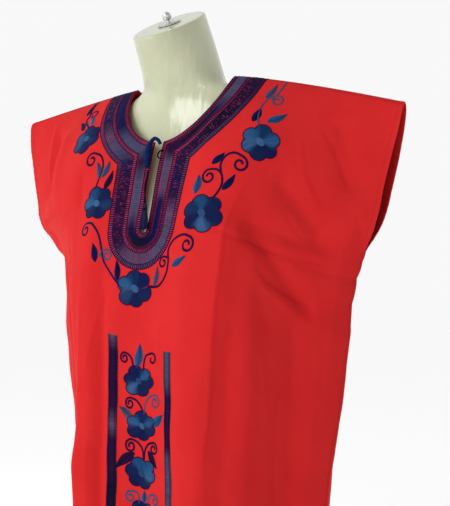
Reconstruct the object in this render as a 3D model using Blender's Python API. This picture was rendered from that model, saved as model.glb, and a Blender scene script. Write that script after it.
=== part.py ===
"""Embroidered blouse on a limbless dress form.

The blouse is cut square: a front and a back, each a near rectangle whose top corners are the cap
sleeves. Each panel is drawn flat and laid on a drape that keeps the cloth's lengths.
Flat coordinates: u runs across from the centre, + to the wearer's left, and v runs down from
the shoulder. World: metres, +Z up, front towards -Y, origin at the middle of the stand's underside.
"""
import math

import bmesh
import bpy
import numpy as np
from mathutils import Vector
from mathutils.geometry import delaunay_2d_cdt

# Cloth, sizes in metres
SHOULDER_Z = 0.920      # top of the cloth where the shoulder meets the neck
CLOTH = 0.0012          # wall of the panels
SEAM_GAP = 0.0003
SEAM_REACH = 0.012      # near a seam both walls turn to face the same way
LENGTH = 0.745          # shoulder to hem
ARMHOLE = 0.225         # open edge of a sleeve, from the shoulder down
# Half the width of a panel, by distance down from the shoulder: straight sleeve edge, curved side seam
CUT_COLUMNS = ("down", "half")
CUT = (
    (0.000, 0.376),
    (0.225, 0.379),
    (0.330, 0.380),
    (0.460, 0.368),
    (0.580, 0.350),
    (0.745, 0.338),
)
HALF_TOP = CUT[0][1]
HALF_HEM = CUT[-1][1]
NECK_HALF = 0.099
NECK_FRONT = 0.120      # front drop of the neck hole
NECK_BACK = 0.080
SLIT_END = 0.2615       # down to where the front slit's round foot starts
SLIT_TOP_HALF = 0.0085  # half the gap of the slit at the neck
SLIT_END_HALF = 0.0078  # the same at its foot, which is a half circle

# Spacing of the panels' points
EDGE_STEP = 0.013
BORDER_STEP = 0.016
HEM_STEP = 0.022
GRID_U = 0.021
GRID_V = 0.031
SIDE_STEP = 0.030
TOP_ROWS = (0.004, 0.010, 0.020, 0.036)  # closer rows just under the shoulder
APART = 0.0065                           # inner points keep this far from the drawn lines

# Embroidered border round the neck and the slit
BORDER = 0.057
SPREAD_TOP = 1.18       # the border is this much wider beside the slit's top than round the neck
SPREAD_END = 1.06       # the same beside its foot
BORDER_RISE = 0.0009
BORDER_BEVEL = 0.0018

# Shoulder line: how far it falls and leans back from the neck to the tip of the sleeve
TIP_DROP_LEFT = 0.062
TIP_DROP_RIGHT = 0.027
TIP_BACK_LEFT = 0.045
TIP_BACK_RIGHT = 0.024
SIDE_BACK_LEFT = 0.045  # where the side seams hang, behind the neck's shoulder point
SIDE_BACK_RIGHT = 0.062
SHOULDER_ROUND = 0.006  # radius of the cloth's turn over the shoulder
TIP_CURVE = 1.2         # power by which the shoulder line falls towards the tip
EDGE_FADE = 0.05        # the turn over the shoulder fades this far above the end of the armhole
SEAM_FADE = 0.03        # folds fade this far from a seam
BELOW_START = 0.19      # the side seams begin to swing back this far down
BELOW_RUN = 0.11        # and have swung back after this much more

# Depth of the cloth away from the shoulder line, by distance down from the shoulder.
# centre: on the middle line; ridge: on the soft fold that falls from the bust or the shoulder blade;
# ridge_u: where that fold is; edge: at the armhole edge or the side seam; turn: how round the fold is
FRONT_COLUMNS = ("down", "centre", "ridge", "ridge_u", "edge", "turn")
FRONT = (
    (0.000, 0.000, 0.000, 0.150, 0.000, 0.40),
    (0.040, 0.022, 0.026, 0.150, 0.003, 0.40),
    (0.080, 0.043, 0.050, 0.150, 0.006, 0.36),
    (0.120, 0.061, 0.070, 0.151, 0.007, 0.30),
    (0.180, 0.079, 0.092, 0.153, 0.004, 0.20),
    (0.220, 0.089, 0.106, 0.154, 0.001, 0.12),
    (0.270, 0.101, 0.122, 0.153, 0.000, 0.07),
    (0.330, 0.112, 0.131, 0.148, 0.000, 0.05),
    (0.420, 0.115, 0.135, 0.138, 0.000, 0.04),
    (0.560, 0.112, 0.135, 0.126, 0.000, 0.04),
    (0.745, 0.108, 0.134, 0.120, 0.000, 0.05),
)
BACK = (
    (0.000, 0.000, 0.000, 0.130, 0.000, 0.40),
    (0.040, 0.039, 0.030, 0.130, 0.003, 0.40),
    (0.080, 0.076, 0.062, 0.130, 0.006, 0.36),
    (0.120, 0.098, 0.086, 0.130, 0.007, 0.36),
    (0.180, 0.112, 0.105, 0.132, 0.004, 0.40),
    (0.220, 0.117, 0.113, 0.133, 0.001, 0.45),
    (0.300, 0.120, 0.121, 0.134, 0.000, 0.50),
    (0.420, 0.118, 0.122, 0.136, 0.000, 0.48),
    (0.560, 0.114, 0.114, 0.138, 0.000, 0.38),
    (0.745, 0.110, 0.108, 0.140, 0.000, 0.30),
)

# Largest folds: a soft ridge (out) or trough (minus) along a line on the flat panel
FOLD_COLUMNS = ("u0", "v0", "u1", "v1", "width", "out")
FOLD_START = 0.25       # share of a fold's length over which it starts
FOLD_FADE = 0.20        # share of its length over which it fades past its end
FRONT_FOLDS = (
    (0.345, 0.225, 0.205, 0.250, 0.016, -0.005),
    (0.185, 0.240, 0.300, 0.330, 0.018, -0.006),
    (0.215, 0.165, 0.300, 0.215, 0.016, -0.004),
    (0.290, 0.040, 0.330, 0.130, 0.020, -0.004),
    (0.210, 0.330, 0.190, 0.740, 0.026, 0.006),
    (0.290, 0.300, 0.270, 0.740, 0.022, -0.005),
    (-0.165, 0.120, -0.145, 0.560, 0.055, -0.014),
    (-0.345, 0.225, -0.215, 0.260, 0.018, -0.006),
    (-0.225, 0.230, -0.190, 0.740, 0.024, -0.008),
    (-0.270, 0.040, -0.300, 0.150, 0.022, -0.005),
    (-0.235, 0.050, -0.250, 0.160, 0.020, 0.004),
    (-0.290, 0.300, -0.270, 0.740, 0.026, 0.006),
)
BACK_FOLDS = (
    (0.050, 0.200, 0.070, 0.745, 0.024, -0.007),
    (0.200, 0.240, 0.215, 0.745, 0.024, -0.009),
    (0.290, 0.260, 0.285, 0.745, 0.022, 0.003),
    (-0.060, 0.230, -0.085, 0.745, 0.026, -0.008),
    (-0.205, 0.250, -0.215, 0.745, 0.022, -0.008),
    (-0.285, 0.260, -0.290, 0.745, 0.024, 0.006),
    (0.345, 0.225, 0.230, 0.260, 0.018, -0.005),
    (-0.345, 0.225, -0.220, 0.255, 0.018, -0.005),
    (0.280, 0.040, 0.310, 0.150, 0.022, -0.004),
    (-0.280, 0.045, -0.315, 0.140, 0.022, -0.004),
)

# Ties at the top of the slit. A route's points on the flat front: across, down, and lift off the cloth
TIE_THICK = 0.0085
TIE_THIN = 0.0026
TIE_CLEAR = 0.0006
BOW_ROUTE = (
    (-0.0085, 0.1640, 0.000),
    (-0.0100, 0.1540, 0.000),
    (-0.0110, 0.1430, 0.000),
    (-0.0115, 0.1330, 0.001),
    (-0.0085, 0.1240, 0.003),
    (-0.0020, 0.1190, 0.004),
    (0.0050, 0.1210, 0.003),
    (0.0105, 0.1270, 0.001),
)
CORD_ROUTE = (
    (-0.0085, 0.1690, 0.000),
    (-0.0082, 0.1780, 0.000),
    (-0.0095, 0.1880, 0.000),
    (-0.0085, 0.1980, 0.000),
    (-0.0065, 0.2080, 0.000),
    (-0.0035, 0.2160, 0.001),
    (-0.0010, 0.2220, 0.002),
)
LOOP_ROUTE = (
    (0.0150, 0.1360, 0.000),
    (0.0100, 0.1370, 0.001),
    (0.0065, 0.1400, 0.001),
    (0.0060, 0.1440, 0.001),
    (0.0085, 0.1480, 0.001),
    (0.0130, 0.1500, 0.000),
)
CORD_POINTS = 30
TASSEL_LENGTH = 0.038
TASSEL_HALF = 0.0070
TASSEL_FLAT = 0.75      # its depth as a share of its width
TASSEL_LOCKS = 9
TASSEL_GROOVE = 0.22    # depth of the grooves between locks, as a share of the radius
TASSEL_NECK = 0.22      # share of the length where the grooves start
TASSEL_GROWTH = 0.30    # share of the length over which they deepen
TASSEL_SWING = 0.004    # its end hangs this far to the wearer's left
TASSEL_GAP = 0.0007     # between the cord's end and the tassel's top
# Shape of the tassel: share of its length, share of its radius
TASSEL_PROFILE = (
    (0.00, 0.30),
    (0.06, 0.52),
    (0.16, 0.56),
    (0.22, 0.42),
    (0.30, 0.66),
    (0.60, 0.88),
    (1.00, 1.00),
)

# Dress form, heights from the shoulder point; tilt turns a ring about the X axis and corner is the
# power of its outline, 2 for an ellipse and less where the shoulders run out from the neck
FORM_COLUMNS = ("z", "y", "half", "front", "back", "tilt", "corner")
FORM = (
    (0.090, -0.041, 0.055, 0.062, 0.060, 28.0, 2.0),
    (0.050, -0.021, 0.062, 0.064, 0.062, 14.0, 2.0),
    (0.012, -0.004, 0.067, 0.064, 0.063, 4.0, 2.0),
    (-0.006, 0.002, 0.078, 0.062, 0.062, 0.0, 1.7),
    (-0.014, 0.004, 0.104, 0.060, 0.059, 0.0, 1.3),
    (-0.024, 0.006, 0.135, 0.058, 0.058, 0.0, 1.2),
    (-0.038, 0.008, 0.160, 0.056, 0.062, 0.0, 1.3),
    (-0.058, 0.010, 0.176, 0.055, 0.066, 0.0, 1.5),
    (-0.085, 0.011, 0.184, 0.058, 0.074, 0.0, 1.8),
    (-0.120, 0.009, 0.184, 0.066, 0.085, 0.0, 2.0),
    (-0.180, 0.004, 0.174, 0.081, 0.096, 0.0, 2.0),
    (-0.270, 0.000, 0.161, 0.100, 0.096, 0.0, 2.0),
    (-0.350, 0.002, 0.146, 0.084, 0.086, 0.0, 2.0),
    (-0.440, 0.006, 0.124, 0.068, 0.074, 0.0, 2.0),
    (-0.540, 0.008, 0.155, 0.082, 0.086, 0.0, 2.0),
    (-0.620, 0.008, 0.168, 0.090, 0.091, 0.0, 2.0),
    (-0.640, 0.008, 0.164, 0.088, 0.089, 0.0, 2.0),
)
FORM_SIDES = 32
FORM_STEP = 0.030

# Stand
POLE_R = 0.0125
BASE_R = 0.150
BASE_H = 0.012
BALL_R = 0.0075
BALL_STEM_R = 0.0025
BALL_STEM_H = 0.0020
BALL_SEAT = 0.0015      # underside of the ball above the washer
WASHER_R = 0.019
WASHER_H = 0.0025
WASHER_EDGE = 0.6       # height of its rim, as a share of its thickness
WASHER_TOP = 0.9        # radius of its top, as a share of its radius
BASE_EDGE = 0.003

COLOURS = {
    "red_cotton": ((0.75, 0.035, 0.025), 0.85, 0.0),
    "blue_thread": ((0.03, 0.05, 0.20), 0.6, 0.0),
    "form_shell": ((0.62, 0.66, 0.50), 0.25, 0.0),
    "chrome": ((0.75, 0.75, 0.76), 0.12, 1.0),
}


def clear_scene():
    for obj in list(bpy.data.objects):
        bpy.data.objects.remove(obj, do_unlink=True)


def material(name):
    """The named Principled material, made once."""
    found = bpy.data.materials.get(name)
    if found:
        return found
    colour, rough, metal = COLOURS[name]
    made = bpy.data.materials.new(name)
    made.use_nodes = True
    shader = made.node_tree.nodes["Principled BSDF"]
    shader.inputs["Base Color"].default_value = (*colour, 1.0)
    shader.inputs["Roughness"].default_value = rough
    shader.inputs["Metallic"].default_value = metal
    return made


def smooth_column(rows, columns, name, at):
    """A table's column as a smooth curve of its first column, with no overshoot."""
    xs = np.array([row[0] for row in rows])
    order = np.argsort(xs)
    xs = xs[order]
    ys = np.array([row[columns.index(name)] for row in rows])[order]
    slopes = np.diff(ys) / np.diff(xs)
    steep = np.zeros(len(xs))
    steep[0] = slopes[0]
    steep[-1] = slopes[-1]
    same = slopes[:-1] * slopes[1:] > 0
    mean = 2 * slopes[:-1] * slopes[1:] / np.where(same, slopes[:-1] + slopes[1:], 1.0)
    steep[1:-1] = np.where(same, mean, 0.0)
    at = np.clip(np.asarray(at, dtype=float), xs[0], xs[-1])
    k = np.clip(np.searchsorted(xs, at) - 1, 0, len(xs) - 2)
    width = xs[k + 1] - xs[k]
    t = (at - xs[k]) / width
    return ((1 + 2 * t) * (1 - t) ** 2 * ys[k] + t * (1 - t) ** 2 * width * steep[k]
            + t * t * (3 - 2 * t) * ys[k + 1] + t * t * (t - 1) * width * steep[k + 1])


def half_width(v):
    """Half the flat width of a panel, v down from the shoulder."""
    return smooth_column(CUT, CUT_COLUMNS, "half", v)


def fold_depth(u, v, folds):
    """Height of all the folds at a flat point."""
    total = np.zeros_like(u)
    for row in folds:
        fold = dict(zip(FOLD_COLUMNS, row))
        run_u = fold["u1"] - fold["u0"]
        run_v = fold["v1"] - fold["v0"]
        length = math.hypot(run_u, run_v)
        from_u = u - fold["u0"]
        from_v = v - fold["v0"]
        along = (from_u * run_u + from_v * run_v) / length ** 2
        across = (from_u * run_v - from_v * run_u) / length
        ends = np.clip(along / FOLD_START, 0, 1) * np.clip((1 - along) / FOLD_FADE + 1, 0, 1)
        ends = ends * ends * (3 - 2 * ends)
        total += fold["out"] * ends * np.exp(-(across / fold["width"]) ** 2)
    return total


class Drape:
    """A panel's inner face in the world, by flat coordinates; side is -1 in front, +1 behind."""

    STEP = 0.005

    def __init__(self, rows, folds, side):
        self.side = side
        reach = HALF_TOP + 0.02
        self.u = np.arange(-round(reach / self.STEP), round(reach / self.STEP) + 1) * self.STEP
        self.v = np.arange(0, round((LENGTH + 0.02) / self.STEP) + 1) * self.STEP
        u, v = np.meshgrid(self.u, self.v)
        self.x, self.y, self.z = self.lay(u, v, rows, folds)
        self.turn_normals()

    def depth(self, u, v, rows, folds):
        """Distance of the cloth in front of, or behind, the shoulder line."""
        value = {}
        for name in FRONT_COLUMNS[1:]:
            value[name] = smooth_column(rows, FRONT_COLUMNS, name, v)
        ridge_u = value["ridge_u"]
        inner = np.clip(np.abs(u) / ridge_u, 0, 1)
        dip = value["centre"] + (value["ridge"] - value["centre"]) * (0.5 - 0.5 * np.cos(np.pi * inner))
        t = np.clip((np.abs(u) - ridge_u) / (half_width(v) - ridge_u), 0, 1.1)
        turn = value["turn"]
        run = t - turn * (1 - np.exp(-t / turn))
        whole = 1 - turn * (1 - np.exp(-1 / turn))
        flank = value["ridge"] + (value["edge"] - value["ridge"]) * run / whole
        main = np.where(np.abs(u) < ridge_u, dip, flank)
        start = np.gradient(main, self.v, axis=0)[1:2]
        start = np.clip(start, 0, 1)
        rounding = (1 - start) * SHOULDER_ROUND * (1 - np.exp(-v / SHOULDER_ROUND))
        edge_fade = np.clip((ARMHOLE - v) / EDGE_FADE, 0, 1)
        seam_fade = np.clip((half_width(v) - np.abs(u)) / SEAM_FADE, 0, 1)
        hold = np.maximum(edge_fade, seam_fade)
        folds_here = fold_depth(u, v, folds) * seam_fade * np.clip(v / SEAM_FADE, 0, 1)
        return main + rounding * hold + folds_here

    def lay(self, u, v, rows, folds):
        """World coordinates of the grid, with the cloth's lengths kept along u and v."""
        away = np.abs(u)
        lean = np.clip((away - NECK_HALF) / (HALF_TOP - NECK_HALF), 0, 1.1)
        below = np.clip((v - BELOW_START) / BELOW_RUN, 0, 1)
        below = below * below * (3 - 2 * below)
        left = TIP_BACK_LEFT + (SIDE_BACK_LEFT - TIP_BACK_LEFT) * below
        right = TIP_BACK_RIGHT + (SIDE_BACK_RIGHT - TIP_BACK_RIGHT) * below
        seam_y = np.where(u > 0, left, right) * lean
        y = seam_y + self.side * self.depth(u, v, rows, folds)
        fall = np.where(u[0] > 0, TIP_DROP_LEFT, TIP_DROP_RIGHT) * lean[0] ** TIP_CURVE
        shoulder_z = SHOULDER_Z - fall
        y_u = np.gradient(y, self.u, axis=1)
        y_v = np.gradient(y, self.v, axis=0)
        middle = len(self.u) // 2
        x = u.copy()
        for _ in range(4):
            x_v = np.gradient(x, self.v, axis=0)
            fall = np.sqrt(np.clip(1 - y_v ** 2 - x_v ** 2, 0.0, 1))
            z = shoulder_z[None, :] - self.run_sum(fall, axis=0)
            z_u = np.gradient(z, self.u, axis=1)
            across = np.sqrt(np.clip(1 - y_u ** 2 - z_u ** 2, 0.12, 1))
            x = self.run_sum(across, axis=1)
            x = x - x[:, middle:middle + 1]
        return x, y, z

    def run_sum(self, rate, axis):
        """Running integral of a rate over the grid."""
        rate = np.moveaxis(rate, axis, 0)
        steps = 0.5 * (rate[1:] + rate[:-1]) * self.STEP
        total = np.concatenate([np.zeros((1,) + steps.shape[1:]), np.cumsum(steps, axis=0)])
        return np.moveaxis(total, 0, axis)

    def meet(self, other):
        """Move this panel's edges sideways and up to those of another, which it is sewn to."""
        u, v = np.meshgrid(self.u, self.v)
        for sign in (-1, 1):
            edge = sign * half_width(self.v)
            dx = other.sample(other.x, edge, self.v) - self.sample(self.x, edge, self.v)
            dz = other.sample(other.z, edge, self.v) - self.sample(self.z, edge, self.v)
            weight = np.where(u * sign > 0, np.clip(np.abs(u) / half_width(v), 0, 1) ** 2, 0)
            self.x = self.x + weight * dx[:, None]
            self.z = self.z + weight * dz[:, None]
        self.turn_normals()

    def turn_normals(self):
        """Unit normals of the grid, out of the garment."""
        u_step = [np.gradient(c, self.u, axis=1) for c in (self.x, self.y, self.z)]
        v_step = [np.gradient(c, self.v, axis=0) for c in (self.x, self.y, self.z)]
        normal = np.cross(np.stack(u_step, -1), np.stack(v_step, -1)) * self.side
        u, v = np.meshgrid(self.u, self.v)
        normal /= np.linalg.norm(normal, axis=-1, keepdims=True)
        to_edge = half_width(v) - np.abs(u)
        sewn = np.clip((v - ARMHOLE) / SEAM_REACH + 1, 0, 1)
        near = np.clip(1 - to_edge / SEAM_REACH, 0, 1) * sewn
        near = np.maximum(near, np.clip(1 - v / SEAM_REACH, 0, 1))
        normal[..., 1] *= 1 - near
        normal /= np.linalg.norm(normal, axis=-1, keepdims=True)
        self.normal = normal

    def sample(self, grid, u, v):
        """A grid's value between its points."""
        fu = np.clip((np.asarray(u) - self.u[0]) / self.STEP, 0, len(self.u) - 1.001)
        fv = np.clip((np.asarray(v) - self.v[0]) / self.STEP, 0, len(self.v) - 1.001)
        i = fu.astype(int)
        j = fv.astype(int)
        a = fu - i
        b = fv - j
        if grid.ndim == 3:
            a = a[..., None]
            b = b[..., None]
        return (grid[j, i] * (1 - a) * (1 - b) + grid[j, i + 1] * a * (1 - b)
                + grid[j + 1, i] * (1 - a) * b + grid[j + 1, i + 1] * a * b)

    def point(self, u, v, lift=0.0):
        """World points lifted off the inner face."""
        lift = np.broadcast_to(np.asarray(lift, dtype=float), np.shape(u))
        place = np.stack([self.sample(c, u, v) for c in (self.x, self.y, self.z)], axis=-1)
        return place + self.sample(self.normal, u, v) * lift[..., None]


def slit_half(v):
    """Half the gap of the slit, v down from the shoulder."""
    t = np.clip((v - NECK_FRONT) / (SLIT_END - NECK_FRONT), 0, 1)
    return SLIT_TOP_HALF + (SLIT_END_HALF - SLIT_TOP_HALF) * t


def slit_spread(v):
    """How much wider the border is beside the slit than round the neck."""
    t = np.clip((v - NECK_FRONT) / (SLIT_END - NECK_FRONT), 0, 1)
    return SPREAD_TOP + (SPREAD_END - SPREAD_TOP) * t


def neck_line(away, drop, slit, step):
    """Neck edge moved away from the hole, from the wearer's left shoulder to the right one."""
    a = NECK_HALF + away
    b = drop + away
    half = []
    last = math.pi / 2
    if slit:
        last = math.acos((SLIT_TOP_HALF + away * SPREAD_TOP) / a)
    count = max(3, round((a + b) / 2 * last / step))
    for k in range(count + 1):
        angle = last * k / count
        half.append((a * math.cos(angle), b * math.sin(angle)))
    if slit:
        top = half[-1][1]
        count = max(2, round((SLIT_END - top) / step))
        for k in range(1, count + 1):
            v = top + (SLIT_END - top) * k / count
            half.append((float(slit_half(v) + away * slit_spread(v)), v))
        aside = away * SPREAD_END
        count = max(2, round((SLIT_END_HALF + aside) * math.pi / 2 / step))
        for k in range(1, count + 1):
            angle = math.pi / 2 * k / count
            half.append(((SLIT_END_HALF + aside) * math.cos(angle),
                         SLIT_END + (SLIT_END_HALF + away) * math.sin(angle)))
    half[-1] = (0.0, half[-1][1])
    return half + [(-u, v) for u, v in reversed(half[:-1])]


def inside_neck_line(u, v, away, drop, slit):
    """Whether a flat point is within the neck line moved away by a distance."""
    within = (u / (NECK_HALF + away)) ** 2 + (v / (drop + away)) ** 2 <= 1
    if slit:
        aside = away * SPREAD_END
        within |= (abs(u) <= slit_half(v) + away * slit_spread(v)) and v <= SLIT_END
        within |= math.hypot(u / (SLIT_END_HALF + aside), (v - SLIT_END) / (SLIT_END_HALF + away)) <= 1
    return within


def flat_outline(drop, slit):
    """Cut line of a panel, set back from its seams by half a seam gap."""
    back = SEAM_GAP / 2
    points = [(u, max(v, back)) for u, v in neck_line(0.0, drop, slit, EDGE_STEP)]
    side = []
    count = round((HALF_TOP - NECK_HALF) / SIDE_STEP)
    for k in range(1, count):
        side.append((-(NECK_HALF + (HALF_TOP - NECK_HALF) * k / count), back))
    side.append((-HALF_TOP + back, back))
    rows = round(LENGTH / SIDE_STEP)
    for k in range(1, rows + 1):
        v = LENGTH * k / rows
        side.append((-float(half_width(v)), v))
    side = [(max(u, -float(half_width(v)) + back), v) for u, v in side]
    points += side
    count = round(2 * HALF_HEM / HEM_STEP)
    foot = HALF_HEM - back
    points += [(-foot + 2 * foot * k / count, LENGTH) for k in range(1, count)]
    points += [(-u, v) for u, v in reversed(side)]
    return points


def grid_points():
    """Inner points of a panel, in rows."""
    top = TOP_ROWS[-1]
    count = round((LENGTH - top) / GRID_V)
    rows = list(TOP_ROWS) + [top + (LENGTH - top) * k / count for k in range(1, count)]
    points = []
    for v in rows:
        half = float(half_width(v))
        columns = round(2 * half / GRID_U)
        for k in range(1, columns):
            points.append((-half + 2 * half * k / columns, v))
    return points


def panel(name, drape, drop, slit):
    """A cloth wall, plain inside, with the embroidered border raised outside."""
    outline = flat_outline(drop, slit)
    lines = [neck_line(BORDER, drop, slit, BORDER_STEP),
             neck_line(BORDER - BORDER_BEVEL, drop, slit, BORDER_STEP)]
    spots = list(outline)
    edges = [(k, (k + 1) % len(outline)) for k in range(len(outline))]
    for line in lines:
        kept = [(u, v) for u, v in line if v > TOP_ROWS[0] / 2]
        first = len(spots)
        spots += kept
        edges += [(first + k, first + k + 1) for k in range(len(kept) - 1)]
    fixed = np.array(spots)
    for u, v in grid_points():
        if inside_neck_line(u, v, APART / 2, drop, slit):
            continue
        if np.min(np.hypot(fixed[:, 0] - u, fixed[:, 1] - v)) > APART:
            spots.append((u, v))
    found = delaunay_2d_cdt([Vector(p) for p in spots], edges, [list(range(len(outline)))], 1, 1e-6)
    flat, triangles = found[0], found[2]
    u = np.array([p.x for p in flat])
    v = np.array([p.y for p in flat])
    top = BORDER - BORDER_BEVEL + 1e-5
    raised = [inside_neck_line(a, b, top, drop, slit) for a, b in zip(u, v)]
    rise = np.where(raised, BORDER_RISE, 0.0)
    inner = drape.point(u, v)
    outer = drape.point(u, v, CLOTH + rise)
    mesh = bmesh.new()
    low = [mesh.verts.new(p) for p in inner]
    high = [mesh.verts.new(p) for p in outer]
    uses = {}
    for a, b, c in triangles:
        mesh.faces.new((high[a], high[b], high[c]))
        mesh.faces.new((low[c], low[b], low[a]))
        for pair in ((a, b), (b, c), (c, a)):
            uses[pair] = uses.get(pair, 0) + 1
    for a, b in list(uses):
        if (b, a) not in uses:
            mesh.faces.new((low[a], low[b], high[b], high[a]))
    bmesh.ops.recalc_face_normals(mesh, faces=mesh.faces)
    return finish(mesh, name, "red_cotton")


def finish(mesh, name, look):
    """Put a bmesh into the scene as a smooth object."""
    data = bpy.data.meshes.new(name)
    bmesh.ops.triangulate(mesh, faces=mesh.faces)
    loose = [vert for vert in mesh.verts if not vert.link_faces]
    bmesh.ops.delete(mesh, geom=loose, context="VERTS")
    mesh.to_mesh(data)
    mesh.free()
    data.shade_smooth()
    data.set_sharp_from_angle(angle=math.radians(40))
    data.materials.append(material(look))
    obj = bpy.data.objects.new(name, data)
    bpy.context.scene.collection.objects.link(obj)
    return obj


def form_ring(z):
    """One ring of the dress form, z from the shoulder point."""
    y, half, front, back, tilt, corner = (float(smooth_column(FORM, FORM_COLUMNS, name, z))
                                          for name in FORM_COLUMNS[1:])
    lean = math.tan(math.radians(tilt))
    ring = []
    for k in range(FORM_SIDES):
        angle = 2 * math.pi * k / FORM_SIDES
        depth = back if math.sin(angle) > 0 else front
        away = math.copysign(depth * abs(math.sin(angle)) ** (2 / corner), math.sin(angle))
        aside = math.copysign(half * abs(math.cos(angle)) ** (2 / corner), math.cos(angle))
        ring.append((aside, y + away, SHOULDER_Z + z + lean * away))
    return ring


def dress_form():
    """A smooth limbless torso, flat under the hips and cut slanting across the neck."""
    levels = [row[0] for row in FORM]
    for upper, lower in zip(list(levels), levels[1:]):
        extra = round((upper - lower) / FORM_STEP) - 1
        for k in range(1, extra + 1):
            levels.append(upper + (lower - upper) * k / (extra + 1))
    mesh = bmesh.new()
    rings = []
    for z in sorted(set(levels)):
        rings.append([mesh.verts.new(p) for p in form_ring(z)])
    for lower, upper in zip(rings, rings[1:]):
        for k in range(FORM_SIDES):
            n = (k + 1) % FORM_SIDES
            mesh.faces.new((lower[k], lower[n], upper[n], upper[k]))
    mesh.faces.new(list(reversed(rings[0])))
    mesh.faces.new(rings[-1])
    bmesh.ops.recalc_face_normals(mesh, faces=mesh.faces)
    return finish(mesh, "dress_form", "form_shell")


def turned(name, profile, look, sides, axis_point=(0, 0, 0), tilt=0.0):
    """A closed solid turned about Z: profile is (radius, height) from the bottom up."""
    mesh = bmesh.new()
    rings = []
    for radius, height in profile:
        if radius == 0:
            rings.append([mesh.verts.new((0, 0, height))])
            continue
        ring = []
        for k in range(sides):
            angle = 2 * math.pi * k / sides
            ring.append(mesh.verts.new((radius * math.cos(angle), radius * math.sin(angle), height)))
        rings.append(ring)
    for lower, upper in zip(rings, rings[1:]):
        for k in range(sides):
            n = (k + 1) % sides
            if len(lower) == 1:
                mesh.faces.new((lower[0], upper[n], upper[k]))
            elif len(upper) == 1:
                mesh.faces.new((lower[k], lower[n], upper[0]))
            else:
                mesh.faces.new((lower[k], lower[n], upper[n], upper[k]))
    if len(rings[0]) > 1:
        mesh.faces.new(list(reversed(rings[0])))
    if len(rings[-1]) > 1:
        mesh.faces.new(rings[-1])
    obj = finish(mesh, name, look)
    obj.location = axis_point
    obj.rotation_euler = (tilt, 0, 0)
    return obj


def stand():
    """Round foot, pole, and the ball on its washer at the top of the neck."""
    turned("stand_base", [(BASE_R - BASE_EDGE, 0), (BASE_R, BASE_EDGE), (BASE_R, BASE_H - BASE_EDGE),
                          (BASE_R - BASE_EDGE, BASE_H)], "chrome", 48)
    under = SHOULDER_Z + FORM[-1][0] - SEAM_GAP
    turned("stand_pole", [(POLE_R, BASE_H + SEAM_GAP), (POLE_R, under)], "chrome", 20)
    lean = math.radians(FORM[0][5])
    up = Vector((0, -math.sin(lean), math.cos(lean)))
    seat = Vector((0, FORM[0][1], SHOULDER_Z + FORM[0][0])) + up * SEAM_GAP
    washer = [(WASHER_R, 0), (WASHER_R, WASHER_H * WASHER_EDGE), (WASHER_R * WASHER_TOP, WASHER_H)]
    turned("neck_washer", washer, "form_shell", 24, seat, lean)
    ball = [(BALL_STEM_R, 0.0), (BALL_STEM_R, BALL_STEM_H)]
    for k in range(1, 8):
        angle = math.pi * k / 8
        ball.append((BALL_R * math.sin(angle), BALL_SEAT + BALL_R - BALL_R * math.cos(angle)))
    ball.append((0, BALL_SEAT + 2 * BALL_R))
    turned("neck_ball", ball, "chrome", 20, seat + up * (WASHER_H + SEAM_GAP), lean)


def tie_points(drape, route, radius, count):
    """A tie's centre line: a smooth curve through its route, lying on the raised border."""
    lift = CLOTH + BORDER_RISE + TIE_CLEAR + radius
    keys = [Vector(drape.point(u, v, lift + extra)) for u, v, extra in route]
    ahead = [keys[0] * 2 - keys[1]] + keys + [keys[-1] * 2 - keys[-2]]
    points = []
    for k in range(count):
        place = (len(keys) - 1) * k / (count - 1)
        i = min(int(place), len(keys) - 2)
        t = place - i
        a, b, c, d = ahead[i:i + 4]
        points.append(0.5 * (2 * b + (c - a) * t + (2 * a - 5 * b + 4 * c - d) * t * t
                             + (3 * b - a - 3 * c + d) * t ** 3))
    return points


def tie(name, drape, route, diameter):
    """A cord as a bevelled curve with filled caps."""
    data = bpy.data.curves.new(name, "CURVE")
    data.dimensions = "3D"
    data.bevel_depth = diameter / 2
    data.bevel_resolution = 2
    data.use_fill_caps = True
    points = tie_points(drape, route, diameter / 2, CORD_POINTS)
    spline = data.splines.new("POLY")
    spline.points.add(len(points) - 1)
    for spot, place in zip(spline.points, points):
        spot.co = (*place, 1.0)
    data.materials.append(material("blue_thread"))
    obj = bpy.data.objects.new(name, data)
    bpy.context.scene.collection.objects.link(obj)
    return points


def tassel(name, start, way, out):
    """A bound head and a skirt of locks, hanging from a cord's end."""
    across = way.cross(out).normalized()
    out = across.cross(way).normalized()
    sides = TASSEL_LOCKS * 4
    mesh = bmesh.new()
    rings = []
    for along, wide in TASSEL_PROFILE:
        groove = TASSEL_GROOVE * min(1.0, max(0.0, (along - TASSEL_NECK) / TASSEL_GROWTH))
        ring = []
        for k in range(sides):
            angle = 2 * math.pi * k / sides
            lobe = 1 - groove * (0.5 - 0.5 * math.cos(TASSEL_LOCKS * angle))
            reach = TASSEL_HALF * wide * lobe
            spot = (start + way * TASSEL_LENGTH * along + across * reach * math.cos(angle)
                    + out * reach * TASSEL_FLAT * math.sin(angle))
            ring.append(mesh.verts.new(spot))
        rings.append(ring)
    for lower, upper in zip(rings, rings[1:]):
        for k in range(sides):
            n = (k + 1) % sides
            mesh.faces.new((lower[k], lower[n], upper[n], upper[k]))
    mesh.faces.new(list(reversed(rings[0])))
    mesh.faces.new(rings[-1])
    bmesh.ops.recalc_face_normals(mesh, faces=mesh.faces)
    return finish(mesh, name, "blue_thread")


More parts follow.
